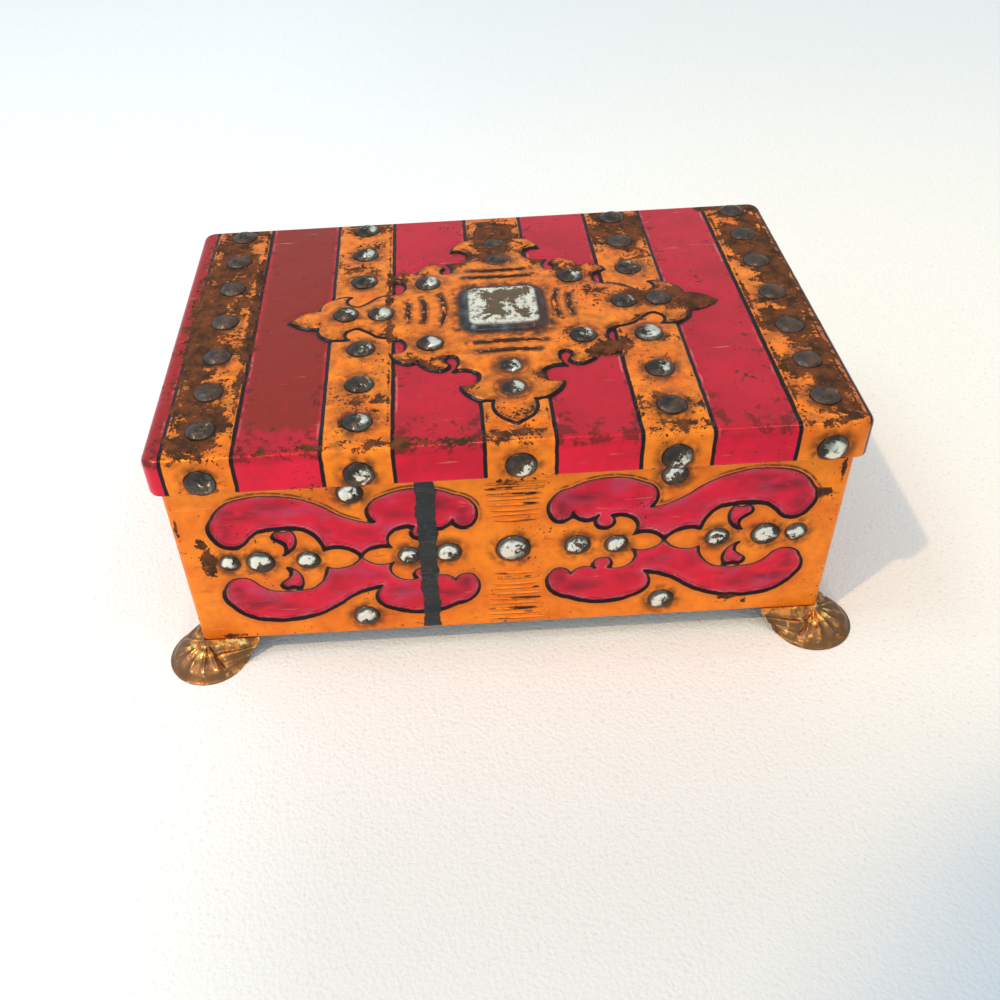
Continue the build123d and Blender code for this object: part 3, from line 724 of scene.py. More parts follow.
def body_paint(along, motif, wall, level):
    """Painted values of the body's outer face, and how deep each point is sunk."""
    field = field_distance(motif, level)
    depth = FIELD_DEPTH * eased(field, -0.3, 1.0)
    worn = np.maximum(0.5 * eased(level, 64.0, 72.0), 0.35 * eased(-level, -9.2, -7.2))
    worn = np.maximum(worn, 0.3 * (wall == ROUND_CORNER))
    front, other = patches(along, level, FRONT_WORN), patches(along, level, OTHER_WORN)
    worn = np.maximum(worn, np.where(wall == 0, front, other))
    rim = np.full(field.shape, FAR_INSIDE)
    for number in range(4):
        rim = np.where(wall == number, rim_distance(along, level, wall_studs(number)), rim)
    smudge = patches(motif, np.abs(level - FIELD_MIDDLE), FIELD_SMUDGES)
    shade = field_distance(motif_beside(along, motif, wall, SHADE_SHIFT), level + SHADE_SHIFT)
    return depth, {
        "field": field, "shade": shade, "rim": rim, "worn": worn, "smudge": smudge,
        "bend": bend_of(-depth),
    }


def make_body_shell(materials):
    """Printed and embossed walls with their rim hem, lower fold and bare inside."""
    sheet = Sheet()
    plan, out, *walls = body_columns()
    rim_middle = WALL_TOP - SHEET
    fold_middle = FOOT_HEIGHT + BODY_FOLD
    low, high = FIELD_HEIGHTS
    levels = graded((fold_middle, low, 6), (low, high, FIELD_CELLS), (high, rim_middle, 9))
    profile = arc_profile(-BODY_FOLD, fold_middle, BODY_FOLD, -90, 0, 3)[:-1]
    profile += [(0.0, level) for level in levels]
    profile += arc_profile(-SHEET, rim_middle, SHEET, 0, 180, 4)[1:]
    level = np.array([[height] for _, height in profile]) * np.ones((1, len(plan)))
    depth, paint = body_paint(*(np.broadcast_to(value, level.shape) for value in walls), level)
    reach = np.array([[move] for move, _ in profile]) - depth
    outer = sheet.add(np.concatenate([plan + out * reach[..., None], level[..., None]], -1), **paint)
    sheet.weave(outer, PRINT, closed=True)

    deepest = -lowest_nearby(-depth, COARSER)
    plan, out = plan[::COARSER], out[::COARSER]

    def inner_loop(move, height):
        """Loop of the inner face, as far out from the wall's face and as high as given."""
        return sheet.add(at_height(plan + out * move, height))

    def hem_edge(height):
        """Free edge of the hem under the box."""
        shrink = 1 - (SHEET + BOTTOM_HEM) / np.array([BODY_HALF_X, BODY_HALF_Y])
        return sheet.add(at_height(plan * shrink, height))

    inside = [inner_loop(-2 * SHEET, rim_middle - 0.4), inner_loop(-2 * SHEET, RIM_HEM_BOTTOM)]
    inside.append(inner_loop(-SHEET, RIM_HEM_BOTTOM - 0.1))
    for row in range(len(profile) - 8, 4, -COARSER):
        height = profile[row][1]
        if height < RIM_HEM_BOTTOM - 0.5:
            inside.append(inner_loop(-SHEET - deepest[row, ::COARSER, None], height))
    inside.append(inner_loop(-BODY_FOLD, FOOT_HEIGHT + SHEET))
    inside += [hem_edge(FOOT_HEIGHT + SHEET), hem_edge(FOOT_HEIGHT)]
    sheet.weave(np.stack(inside), TIN, closed=True)
    sheet.stitch(outer[-1], inside[0], TIN)
    sheet.stitch(outer[0], inside[-1], TIN, flip=True)
    add_seam(sheet)
    return sheet.build("body_shell", materials)


def add_seam(sheet):
    """Lock seam down the middle of the back wall, inside."""
    face = BODY_HALF_Y - SHEET
    section = [(-2.0, 0.1), (-2.0, -0.5), (-1.6, -0.7), (1.2, -0.7), (1.4, -0.35), (2.0, -0.3), (2.0, 0.1)]
    levels = [SEAM_BOTTOM, RIM_HEM_BOTTOM, WALL_TOP - 0.5]
    places = [[(x, face + y, level) for x, y in section] for level in levels]
    numbers = sheet.add(np.array(places))
    sheet.weave(numbers, TIN, closed=True)
    sheet.faces += [numbers[0, ::-1].tolist(), numbers[-1].tolist()]
    sheet.finishes += [TIN, TIN]


# Black strip

def make_strip(material):
    """Thin black strip pressed on to the front wall, with creases where it crosses the sunk fields."""
    cells_across, cells_down = 10, 150
    share = np.linspace(-1, 1, cells_across + 1)
    levels = np.linspace(STRIP_BOTTOM, STRIP_TOP, cells_down + 1)
    across, level = np.meshgrid(share, levels)
    half = STRIP_HALF_WIDTH + 0.28 * eased(level, 20.0, 55.0) + 0.7 * eased(level, 61.0, 64.0)
    half = half + 0.16 * np.sin(level * 0.9) + 0.12 * np.sin(level * 2.3 + 1)
    x = STRIP_X + 0.5 * eased(level, 25.0, 60.0) + 0.22 * np.sin(level * 0.47) + across * half
    depth = FIELD_DEPTH * eased(field_distance(np.abs(x - FIELD_SHIFT_X), level), -0.3, 1.0)
    padded = np.pad(depth, ((2, 2), (0, 0)), mode="edge")
    smoothed = [np.convolve(column, np.ones(5) / 5, "valid") for column in padded.T]
    bridged = np.minimum(np.stack(smoothed, -1), depth)
    lumps = np.zeros(x.shape)
    for height, size, lean in STRIP_CREASES:
        lumps += size * np.exp(-((level - height - lean * across) / 0.55) ** 2) * (0.7 + 0.3 * across)
    face = -BODY_HALF_Y + bridged - STRIP_THICKNESS - 0.03 - lumps
    back = -BODY_HALF_Y + bridged + 0.05
    sheet = Sheet()
    front = sheet.add(np.stack([x, face, level], -1))
    rear = sheet.add(np.stack([x, back, level], -1))
    sheet.weave(front)
    sheet.weave(rear, flip=True)
    sheet.weave(np.stack([border(front), border(rear)]), closed=True, flip=True)
    return sheet.build("black_strip", [material], smooth_angle=60)


# Feet

def foot_points(angle, share, lift):
    """Points of a foot's outer face, by angle from the corner's diagonal and share of the way out."""
    side = np.where(angle >= 0, 1, -1)
    fan_half = FOOT_FAN_SWEEP / 2
    along = np.clip(np.abs(angle) - fan_half, 0, None) / (FOOT_RIM_SWEEP / 2 - fan_half)
    turn = np.radians(45 + 45 * side * np.minimum(1, np.abs(angle) / fan_half))
    run = along * (FOOT_WING - FOOT_NECK_RADIUS)
    top_x = -FOOT_NECK_RADIUS + np.cos(turn) * FOOT_NECK_RADIUS - np.where(side > 0, run, 0)
    top_y = -FOOT_NECK_RADIUS + np.sin(turn) * FOOT_NECK_RADIUS - np.where(side > 0, 0, run)
    rim_turn = np.radians(45 + angle)
    rim_x = -FOOT_RIM_INSET + np.cos(rim_turn) * FOOT_RIM_RADIUS
    rim_y = -FOOT_RIM_INSET + np.sin(rim_turn) * FOOT_RIM_RADIUS
    places, heights = zip(*FOOT_PROFILE)
    height = FOOT_HEIGHT * np.interp(share, places, heights)
    x = top_x + (rim_x - top_x) * share
    y = top_y + (rim_y - top_y) * share
    return np.stack([x, y, height + lift], -1)


def foot_lift(angle, share):
    """Ridges of the fan and bands of the wings, as height above the plain foot."""
    fan_half = FOOT_FAN_SWEEP / 2
    phase = (np.abs(angle) / (FOOT_FAN_SWEEP / FOOT_RIDGES) - 0.5) * math.pi
    ridge = 1 - 1.7 * np.abs(np.sin(phase)) ** 0.8
    in_fan = eased(fan_half - np.abs(angle), -1.0, 5.0)
    fan = FOOT_RIDGE_LIFT * ridge * np.sin(math.pi * np.clip(share, 0, 1) ** 0.8) * in_fan
    crown = 0.35 * np.exp(-((share - 0.3) / 0.08) ** 2) * in_fan
    bands = 0.34 * np.sin(math.tau * (2.6 * share + 0.1)) * np.sin(math.pi * share) * (1 - in_fan)
    groove = 0.45 * np.exp(-((np.abs(angle) - fan_half) / 2.2) ** 2) * np.sin(math.pi * share)
    return fan + crown + bands - groove


def make_foot(name, corner, materials):
    """Stamped foot under one corner of the body: a fluted fan between two moulded wings."""
    side_x, side_y, turn = corner
    sheet = Sheet()
    angles = np.linspace(-FOOT_RIM_SWEEP / 2, FOOT_RIM_SWEEP / 2, 133)
    shares = np.concatenate([np.linspace(0, 0.12, 5)[:-1], np.linspace(0.12, 1.0, 23)])
    share, angle = np.meshgrid(shares, angles, indexing="ij")
    face = foot_points(angle, share, foot_lift(angle, share))
    step_a = np.gradient(face, axis=1)
    step_s = np.gradient(face, axis=0)
    normal = np.cross(step_s, step_a)
    normal /= np.maximum(np.linalg.norm(normal, axis=-1, keepdims=True), 1e-9)
    normal *= np.sign(normal[..., 2:] + 1e-9)
    back = face - normal * SHEET
    back[..., 2] = np.maximum(back[..., 2], 0.0)
    face[-1, :, 2] = SHEET
    lip = face[-1].copy()
    lip[:, 2] = 0.0
    back[-1] = lip + (back[-1] - lip) * [0.25, 0.25, 0.0]
    rotation = np.array(Matrix.Rotation(math.radians(turn), 3, "Z"))
    shift = np.array([side_x * BODY_HALF_X, side_y * BODY_HALF_Y, 0.0])

    def placed(points):
        """Foot points moved to their corner."""
        return points @ rotation.T + shift

    values = {"crest": foot_lift(angle, share) / FOOT_RIDGE_LIFT, "share": share}
    outer = sheet.add(placed(face), **values)
    inner = sheet.add(placed(back), **values)
    sheet.weave(outer, flip=True)
    sheet.weave(inner)
    sheet.weave(np.stack([border(outer), border(inner)]), closed=True)
    neck = FOOT_NECK_RADIUS
    flange = np.array([(-FOOT_WING, 0.0), (-neck, 0.0), (0.0, -neck), (0.0, -FOOT_WING)])
    plate = [at_height(flange, level) for level in (FOOT_HEIGHT - SHEET, FOOT_HEIGHT - 0.02)]
    numbers = sheet.add(placed(np.stack(plate)), crest=0.0, share=0.0)
    sheet.weave(numbers, closed=True, flip=True)
    sheet.faces += [numbers[0].tolist(), numbers[1, ::-1].tolist()]
    sheet.finishes += [0, 0]
    return sheet.build(name, materials, smooth_angle=55)


# Node graphs

class Value:
    """A number, vector or colour in a node graph; arithmetic on it adds Math nodes."""

    def __init__(self, graph, socket):
        self.graph = graph
        self.socket = socket

    def maths(self, operation, other=0.0, swap=False):
        """Math node on this value and another, or on the two swapped."""
        first, second = (other, self) if swap else (self, other)
        return self.graph.node("ShaderNodeMath", {"operation": operation}, {0: first, 1: second})

    def __add__(self, other):
        return self.maths("ADD", other)

    def __sub__(self, other):
        return self.maths("SUBTRACT", other)

    def __rsub__(self, other):
        return self.maths("SUBTRACT", other, swap=True)

    def __mul__(self, other):
        return self.maths("MULTIPLY", other)

    __radd__ = __add__
    __rmul__ = __mul__

    def power(self, exponent):
        """This value to a power."""
        return self.maths("POWER", exponent)

    def largest(self, other):
        """The larger of this value and another."""
        return self.maths("MAXIMUM", other)

    def size(self):
        """This value without its sign."""
        return self.maths("ABSOLUTE")

    def step(self, low, high):
        """Smooth step from 0 at low to 1 at high, or falling where low is above high."""
        ends = (0.0, 1.0) if low < high else (1.0, 0.0)
        return self.graph.node("ShaderNodeMapRange", {"interpolation_type": "SMOOTHSTEP"}, {
            "Value": self, "From Min": min(low, high), "From Max": max(low, high),
            "To Min": ends[0], "To Max": ends[1],
        })


class Graph:
    """Nodes under construction, for a material, the surroundings or Geometry Nodes."""

    def __init__(self, tree):
        self.tree = tree
        self.tree.nodes.clear()

    def node(self, kind, settings=None, inputs=None, output=0):
        """Add a node with its settings, and the values or links of its inputs; returns an output."""
        node = self.tree.nodes.new(kind)
        for label, value in (settings or {}).items():
            setattr(node, label, value)
        self.feed(node, inputs or {})
        return Value(self, node.outputs[output])

    def feed(self, node, inputs):
        """Give a node's inputs their values or links."""
        for label, value in inputs.items():
            if isinstance(value, Value):
                self.tree.links.new(value.socket, node.inputs[label])
            else:
                node.inputs[label].default_value = value

    def axis(self, vector, label):
        """One coordinate of a vector."""
        return self.node("ShaderNodeSeparateXYZ", inputs={"Vector": vector}, output=label)


# Studs and pressed ribs, grown by Geometry Nodes

class Tree(Graph):
    """A Geometry Nodes tree with named inputs."""

    def __init__(self, name, inputs):
        super().__init__(bpy.data.node_groups.new(name, "GeometryNodeTree"))
        interface = self.tree.interface
        for label, kind in {"Geometry": "NodeSocketGeometry", **inputs}.items():
            interface.new_socket(label, in_out="INPUT", socket_type=kind)
        interface.new_socket("Geometry", in_out="OUTPUT", socket_type="NodeSocketGeometry")
        group_input = self.tree.nodes.new("NodeGroupInput")
        self.inputs = {socket.name: Value(self, socket) for socket in group_input.outputs}

    def named(self, label, kind):
        """Attribute of the seed mesh."""
        return self.node("GeometryNodeInputNamedAttribute", {"data_type": kind}, {"Name": label})

    def end(self, geometry):
        """Make the instances real, give the finish and end the tree."""
        real = self.node("GeometryNodeRealizeInstances", inputs={"Geometry": geometry})
        smooth = self.node("GeometryNodeSetShadeSmooth", inputs={"Geometry": real})
        finished = self.node("GeometryNodeSetMaterial", inputs={
            "Geometry": smooth, "Material": self.inputs["Finish"],
        })
        self.feed(self.tree.nodes.new("NodeGroupOutput"), {"Geometry": finished})
        return self.tree


def stud_tree():
    """Hammered stud heads on the points of a seed mesh, each with its own radius and facing."""
    tree = Tree("hammered_studs", {
        "Height": "NodeSocketFloat", "Dents": "NodeSocketFloat", "Seed": "NodeSocketInt",
        "Finish": "NodeSocketMaterial",
    })
    ball = tree.node("GeometryNodeMeshUVSphere", inputs={"Segments": 22, "Rings": 14, "Radius": 1.0})
    place = tree.node("GeometryNodeInputPosition")
    x, y, z = (tree.axis(place, label) for label in "XYZ")
    spread = (1 - z.size()).power(6.0) * STUD_FLARE + 1
    domed = z.largest(STUD_ROOT) * tree.inputs["Height"]
    head = tree.node("ShaderNodeCombineXYZ", inputs={"X": x * spread, "Y": y * spread, "Z": domed})
    dome = tree.node("GeometryNodeSetPosition", inputs={"Geometry": ball, "Position": head})
    facing = tree.named("facing", "FLOAT_VECTOR")
    planted = tree.node("GeometryNodeInstanceOnPoints", inputs={
        "Points": tree.inputs["Geometry"], "Instance": dome,
        "Rotation": tree.node("FunctionNodeAlignRotationToVector", inputs={"Vector": facing}),
        "Scale": tree.named("radius", "FLOAT"),
    })
    real = tree.node("GeometryNodeRealizeInstances", inputs={"Geometry": planted})
    dents = tree.node("ShaderNodeTexNoise", {"noise_dimensions": "4D"}, {
        "W": tree.inputs["Seed"] * 1.7, "Scale": DENTS_PER_METRE, "Detail": 1.0,
    })
    push = tree.node("ShaderNodeVectorMath", {"operation": "SCALE"}, {
        "Vector": tree.node("GeometryNodeInputNormal"), "Scale": (dents - 0.5) * tree.inputs["Dents"],
    })
    return tree.end(tree.node("GeometryNodeSetPosition", inputs={"Geometry": real, "Offset": push}))


def rib_tree():
    """Pressed ribs along the lines of a seed mesh, drawn to a point at both ends."""
    tree = Tree("pressed_ribs", {"Width": "NodeSocketFloat", "Finish": "NodeSocketMaterial"})
    lines = tree.node("GeometryNodeMeshToCurve", inputs={"Mesh": tree.inputs["Geometry"]})
    along = tree.node("GeometryNodeSplineParameter")
    taper = (along * (1 - along) * 4.0).power(0.35)
    ring = tree.node("GeometryNodeCurvePrimitiveCircle", inputs={
        "Resolution": 10, "Radius": tree.inputs["Width"] * 0.5,
    })
    return tree.end(tree.node("GeometryNodeCurveToMesh", inputs={
        "Curve": lines, "Profile Curve": ring, "Scale": taper.largest(0.08), "Fill Caps": True,
    }))


def grown(name, seed_mesh, tree, settings):
    """Plain mesh that a tree grows from a seed mesh."""
    carrier = add_object(name + "_seed", seed_mesh)
    modifier = carrier.modifiers.new("grow", "NODES")
    modifier.node_group = tree
    for item in tree.interface.items_tree:
        if item.in_out == "INPUT" and item.name in settings:
            modifier[item.identifier] = settings[item.name]
    graph = bpy.context.evaluated_depsgraph_get()
    mesh = bpy.data.meshes.new_from_object(carrier.evaluated_get(graph))
    mesh.name = name
    bpy.data.objects.remove(carrier)
    return add_object(name, mesh)


def vertex_places(mesh):
    """Vertices of a mesh in millimetres."""
    places = np.empty(len(mesh.vertices) * 3)
    mesh.vertices.foreach_get("co", places)
    return places.reshape(-1, 3) / MM


def nearest_of(points, places):
    """Number of the nearest place for each point."""
    return np.argmin([np.sum((points - place) ** 2, axis=1) for place in places], axis=0)


def paint_points(mesh, **values):
    """Give a mesh its painted values."""
    for label, column in values.items():
        mesh.attributes.new(label, "FLOAT", "POINT").data.foreach_set("value", column)


def grow_studs(name, studs, tree, finish, seed, shaded_side):
    """Studs on a body; each has a middle, a radius, a facing and a share of tarnish, with painted shade on
    the side toward a given direction.
    """
    mesh = bpy.data.meshes.new(name + "_seed")
    places, radii, facings, dulls = (np.array(column) for column in zip(*studs))
    mesh.from_pydata([Vector(place) for place in places * MM], [], [])
    mesh.attributes.new("radius", "FLOAT", "POINT").data.foreach_set("value", radii * MM)
    mesh.attributes.new("facing", "FLOAT_VECTOR", "POINT").data.foreach_set("vector", facings.ravel())
    settings = {"Height": STUD_RISE, "Dents": DENT_DEPTH * MM, "Seed": seed, "Finish": finish}
    piece = grown(name, mesh, tree, settings)
    points = vertex_places(piece.data)
    nearest = nearest_of(points, places)
    away = (points - places[nearest]) / radii[nearest][:, None]
    rise = np.sum(away * facings[nearest], axis=1) / STUD_RISE
    paint_points(piece.data, crown=rise, dull=dulls[nearest], across=away @ np.array(shaded_side))
    return piece


def grow_ribs(name, lines, facings, tree, finish, width, low_side):
    """Ribs on a body along lines of points, with their undersides kept inside the sheet."""
    points, edges, outward = [], [], []
    for line, facing in zip(lines, facings):
        first = len(points)
        edges += [(first + n, first + n + 1) for n in range(len(line) - 1)]
        points += line
        outward += [facing] * len(line)
    mesh = bpy.data.meshes.new(name + "_seed")
    mesh.from_pydata([Vector(point) * MM for point in points], edges, [])
    piece = grown(name, mesh, tree, {"Width": width * MM, "Finish": finish})
    places = vertex_places(piece.data)
    nearest = nearest_of(places, np.array(points))
    away = places - np.array(points)[nearest]
    facing = np.array(outward)[nearest]
    depth = np.sum(away * facing, axis=1)
    places += facing * np.clip(RIB_SUNK - RIB_REACH - depth, 0, None)[:, None]
    piece.data.vertices.foreach_set("co", (places * MM).ravel())
    paint_points(piece.data, across=-2 * (away @ np.array(low_side)) / width)
    return piece


def bowed_line(middle, half_length, bow, level, upright=False, cells=14):
    """Line of points on the lid or a wall, bowed sideways in its middle."""
    line = []
    for share in np.linspace(-1, 1, cells + 1):
        along = share * half_length
        side = bow * (1 - share * share)
        offset = (side, along) if upright else (along, side)
        line.append((middle[0] + offset[0], middle[1] + offset[1], level))
    return line


def lid_rib_lines():
    """Ribs pressed in the cross ornament, across and beside the boss."""
    level = LID_TOP + CROSS_RELIEF - RIB_SUNK
    across = [bowed_line((RIBS_ACROSS_X, y), half, bow, level) for y, half, bow in RIBS_ACROSS]
    beside = [bowed_line((x, RIBS_BESIDE_Y), half, bow, level, True) for x, half, bow in RIBS_BESIDE]
    return across + beside


def wall_rib_lines():
    """Stack of ribs down the middle of the front and back walls, between the two motifs."""
    lines = []
    longest, shortest = WALL_RIB_HALF
    for count, top, pitch, tapering in WALL_RIB_STACKS:
        for number in range(count):
            share = number / (count - 1)
            half = longest - (longest - shortest) * (share if tapering else 1 - share)
            bow = 0.25 * math.sin(2.4 * number)
            for side in (-1, 1):
                line = bowed_line((-side * WALL_RIB_SHIFT, top - number * pitch), half, bow, 0.0)
                lines.append([(x, side * (BODY_HALF_Y - RIB_SUNK), z) for x, z, _ in line])
    return lines


# Finishes

class Finish(Graph):
    """A node material under construction."""

    def __init__(self, name, **shader_values):
        self.material = bpy.data.materials.new(name)
        self.material.use_nodes = True
        super().__init__(self.material.node_tree)
        self.shader = self.tree.nodes.new("ShaderNodeBsdfPrincipled")
        output = self.tree.nodes.new("ShaderNodeOutputMaterial")
        self.tree.links.new(self.shader.outputs[0], output.inputs["Surface"])
        for label, value in shader_values.items():
            self.shader.inputs[label.replace("_", " ")].default_value = value
        self.place = self.node("ShaderNodeTexCoord", output="Object")

    def painted(self, label):
        """Value painted on the mesh."""
        return self.node("ShaderNodeAttribute", {"attribute_name": label}, output="Fac")

    def along(self, label):
        """Place along an axis, in millimetres."""
        return self.axis(self.place, label) * (1 / MM)

    def grain(self, size, seed=0.0, detail=2.0, roughness=0.5, stretch=None, distortion=0.0):
        """Noise from 0 to 1 with blots of about a size in millimetres."""
        place = self.place
        if stretch:
            place = self.node("ShaderNodeMapping", inputs={"Vector": place, "Scale": stretch})
        return self.node("ShaderNodeTexNoise", {"noise_dimensions": "4D"}, {
            "Vector": place, "W": seed, "Scale": 1 / (size * MM), "Detail": detail, "Roughness": roughness,
            "Distortion": distortion,
        })

    def blend(self, share, first, second):
        """Mix of two colours, with a share of the second."""
        return self.node("ShaderNodeMix", {"data_type": "RGBA"}, {0: share, 6: first, 7: second}, output=2)

    def bump(self, height, depth, normal=None):
        """Normal from a height between 0 and 1 and its depth in millimetres."""
        inputs = {"Height": height, "Distance": depth * MM}
        if normal:
            inputs["Normal"] = normal
        return self.node("ShaderNodeBump", inputs=inputs)

    def done(self, **inputs):
        """Feed the shader and return the material."""
        self.feed(self.shader, {label.replace("_", " "): value for label, value in inputs.items()})
        return self.material


CRIMSON = srgb(226, 20, 56)
CRIMSON_DEEP = srgb(196, 18, 48)
STAINED_RED = srgb(136, 36, 24)
ORANGE = srgb(250, 136, 26)
ORANGE_DEEP = srgb(228, 106, 14)
GOLD = srgb(246, 156, 48)
INK = srgb(20, 6, 14)
SOOT_AND_SHADE_BROWN = srgb(42, 26, 16)
RUST = srgb(104, 56, 28)
RUST_DARK = srgb(54, 34, 18)
RUST_PALE = srgb(146, 78, 40)
BARE_TIN = srgb(232, 230, 216)
TARNISH = srgb(92, 80, 52)
SHADED_TIN_BLUE = srgb(84, 96, 104)


def rust_colour(finish):
    """Brown of bare rusted plate, with darker and paler blots."""
    blots = finish.grain(5.0, seed=3.0, detail=6.0, roughness=0.65)
    brown = finish.blend(blots.step(0.38, 0.62), RUST_DARK, RUST)
    return finish.blend(finish.grain(1.4, seed=8.0, detail=4.0).step(0.58, 0.75) * 0.8, brown, RUST_PALE)


def flaked(finish, worn):
    """Mask of flaked print: ragged blots that grow where the surface is worn."""
    ragged = finish.grain(5.5, seed=1.0, detail=9.0, roughness=0.74, distortion=0.3)
    fleck = finish.grain(1.0, seed=5.0, detail=4.0, roughness=0.7)
    reach = ragged + worn * 0.36 + (fleck - 0.5) * 0.26
    return reach.step(0.735, 0.747)


def specks(finish, worn):
    """Small dark flecks scattered in the print, thicker where it is worn."""
    fine = finish.grain(0.9, seed=11.0, detail=2.0, roughness=0.6)
    patchy = finish.grain(15.0, seed=12.0, detail=3.0)
    return (fine + patchy * 0.5 + worn * 0.14).step(0.955, 0.985)


def printed_sheet(finish, colour, edges, shade_and_soot, worn, bend):
    """Finish of lithographed tin: print, dark outlines, specks, painted shade and grime in hollows and
    where the given mask asks, flaking and rust.
    """
    cloudy = finish.grain(2.4, seed=2.0, detail=5.0).step(0.35, 0.8)
    mottled = finish.blend(cloudy * 0.2, colour, srgb(110, 34, 16))
    scratches = finish.grain(1.3, seed=15.0, detail=4.0, stretch=(0.12, 1.0, 1.0)).step(0.66, 0.8)
    mottled = finish.blend(scratches * 0.35, mottled, srgb(250, 190, 150))
    # Painted shade and grime: the given mask, and half strength in the hollows of the relief
    shaded_and_sooty = finish.blend(shade_and_soot.largest(bend.step(0.25, 0.95) * 0.5) * 0.9, mottled, SOOT_AND_SHADE_BROWN)
    inked = finish.blend(edges, shaded_and_sooty, INK)
    flecked = finish.blend(specks(finish, worn), inked, RUST_DARK)
    bare = flaked(finish, worn + bend.step(0.1, -0.9) * 0.24)
    final = finish.blend(bare, flecked, rust_colour(finish))
    fine = finish.grain(0.8, seed=9.0, detail=4.0, roughness=0.7)
    normal = finish.bump(fine * bare + (1 - bare) * 0.9, 0.12)
    waves = finish.bump(finish.grain(14.0, seed=16.0, detail=2.0), 0.5, normal)
    roughness = bare * (0.36 + fine * 0.2) + 0.24 + finish.grain(9.0, seed=14.0, detail=3.0) * 0.14
    return finish.done(
        Base_Color=final, Roughness=roughness, Normal=waves,
        Metallic=(1 - bare) * 0.3, Coat_Weight=(1 - bare) * 0.16,
    )


def stud_shade_and_smear(finish, rim):
    """Painted shade in a dark ring round each stud's foot, with a ragged dark smear beyond it."""
    smear = finish.grain(2.8, seed=6.0, detail=5.0).step(0.34, 0.6)
    return (rim.step(1.3, 0.2) * 0.94).largest(rim.step(3.8, 0.6) * smear * 0.9)


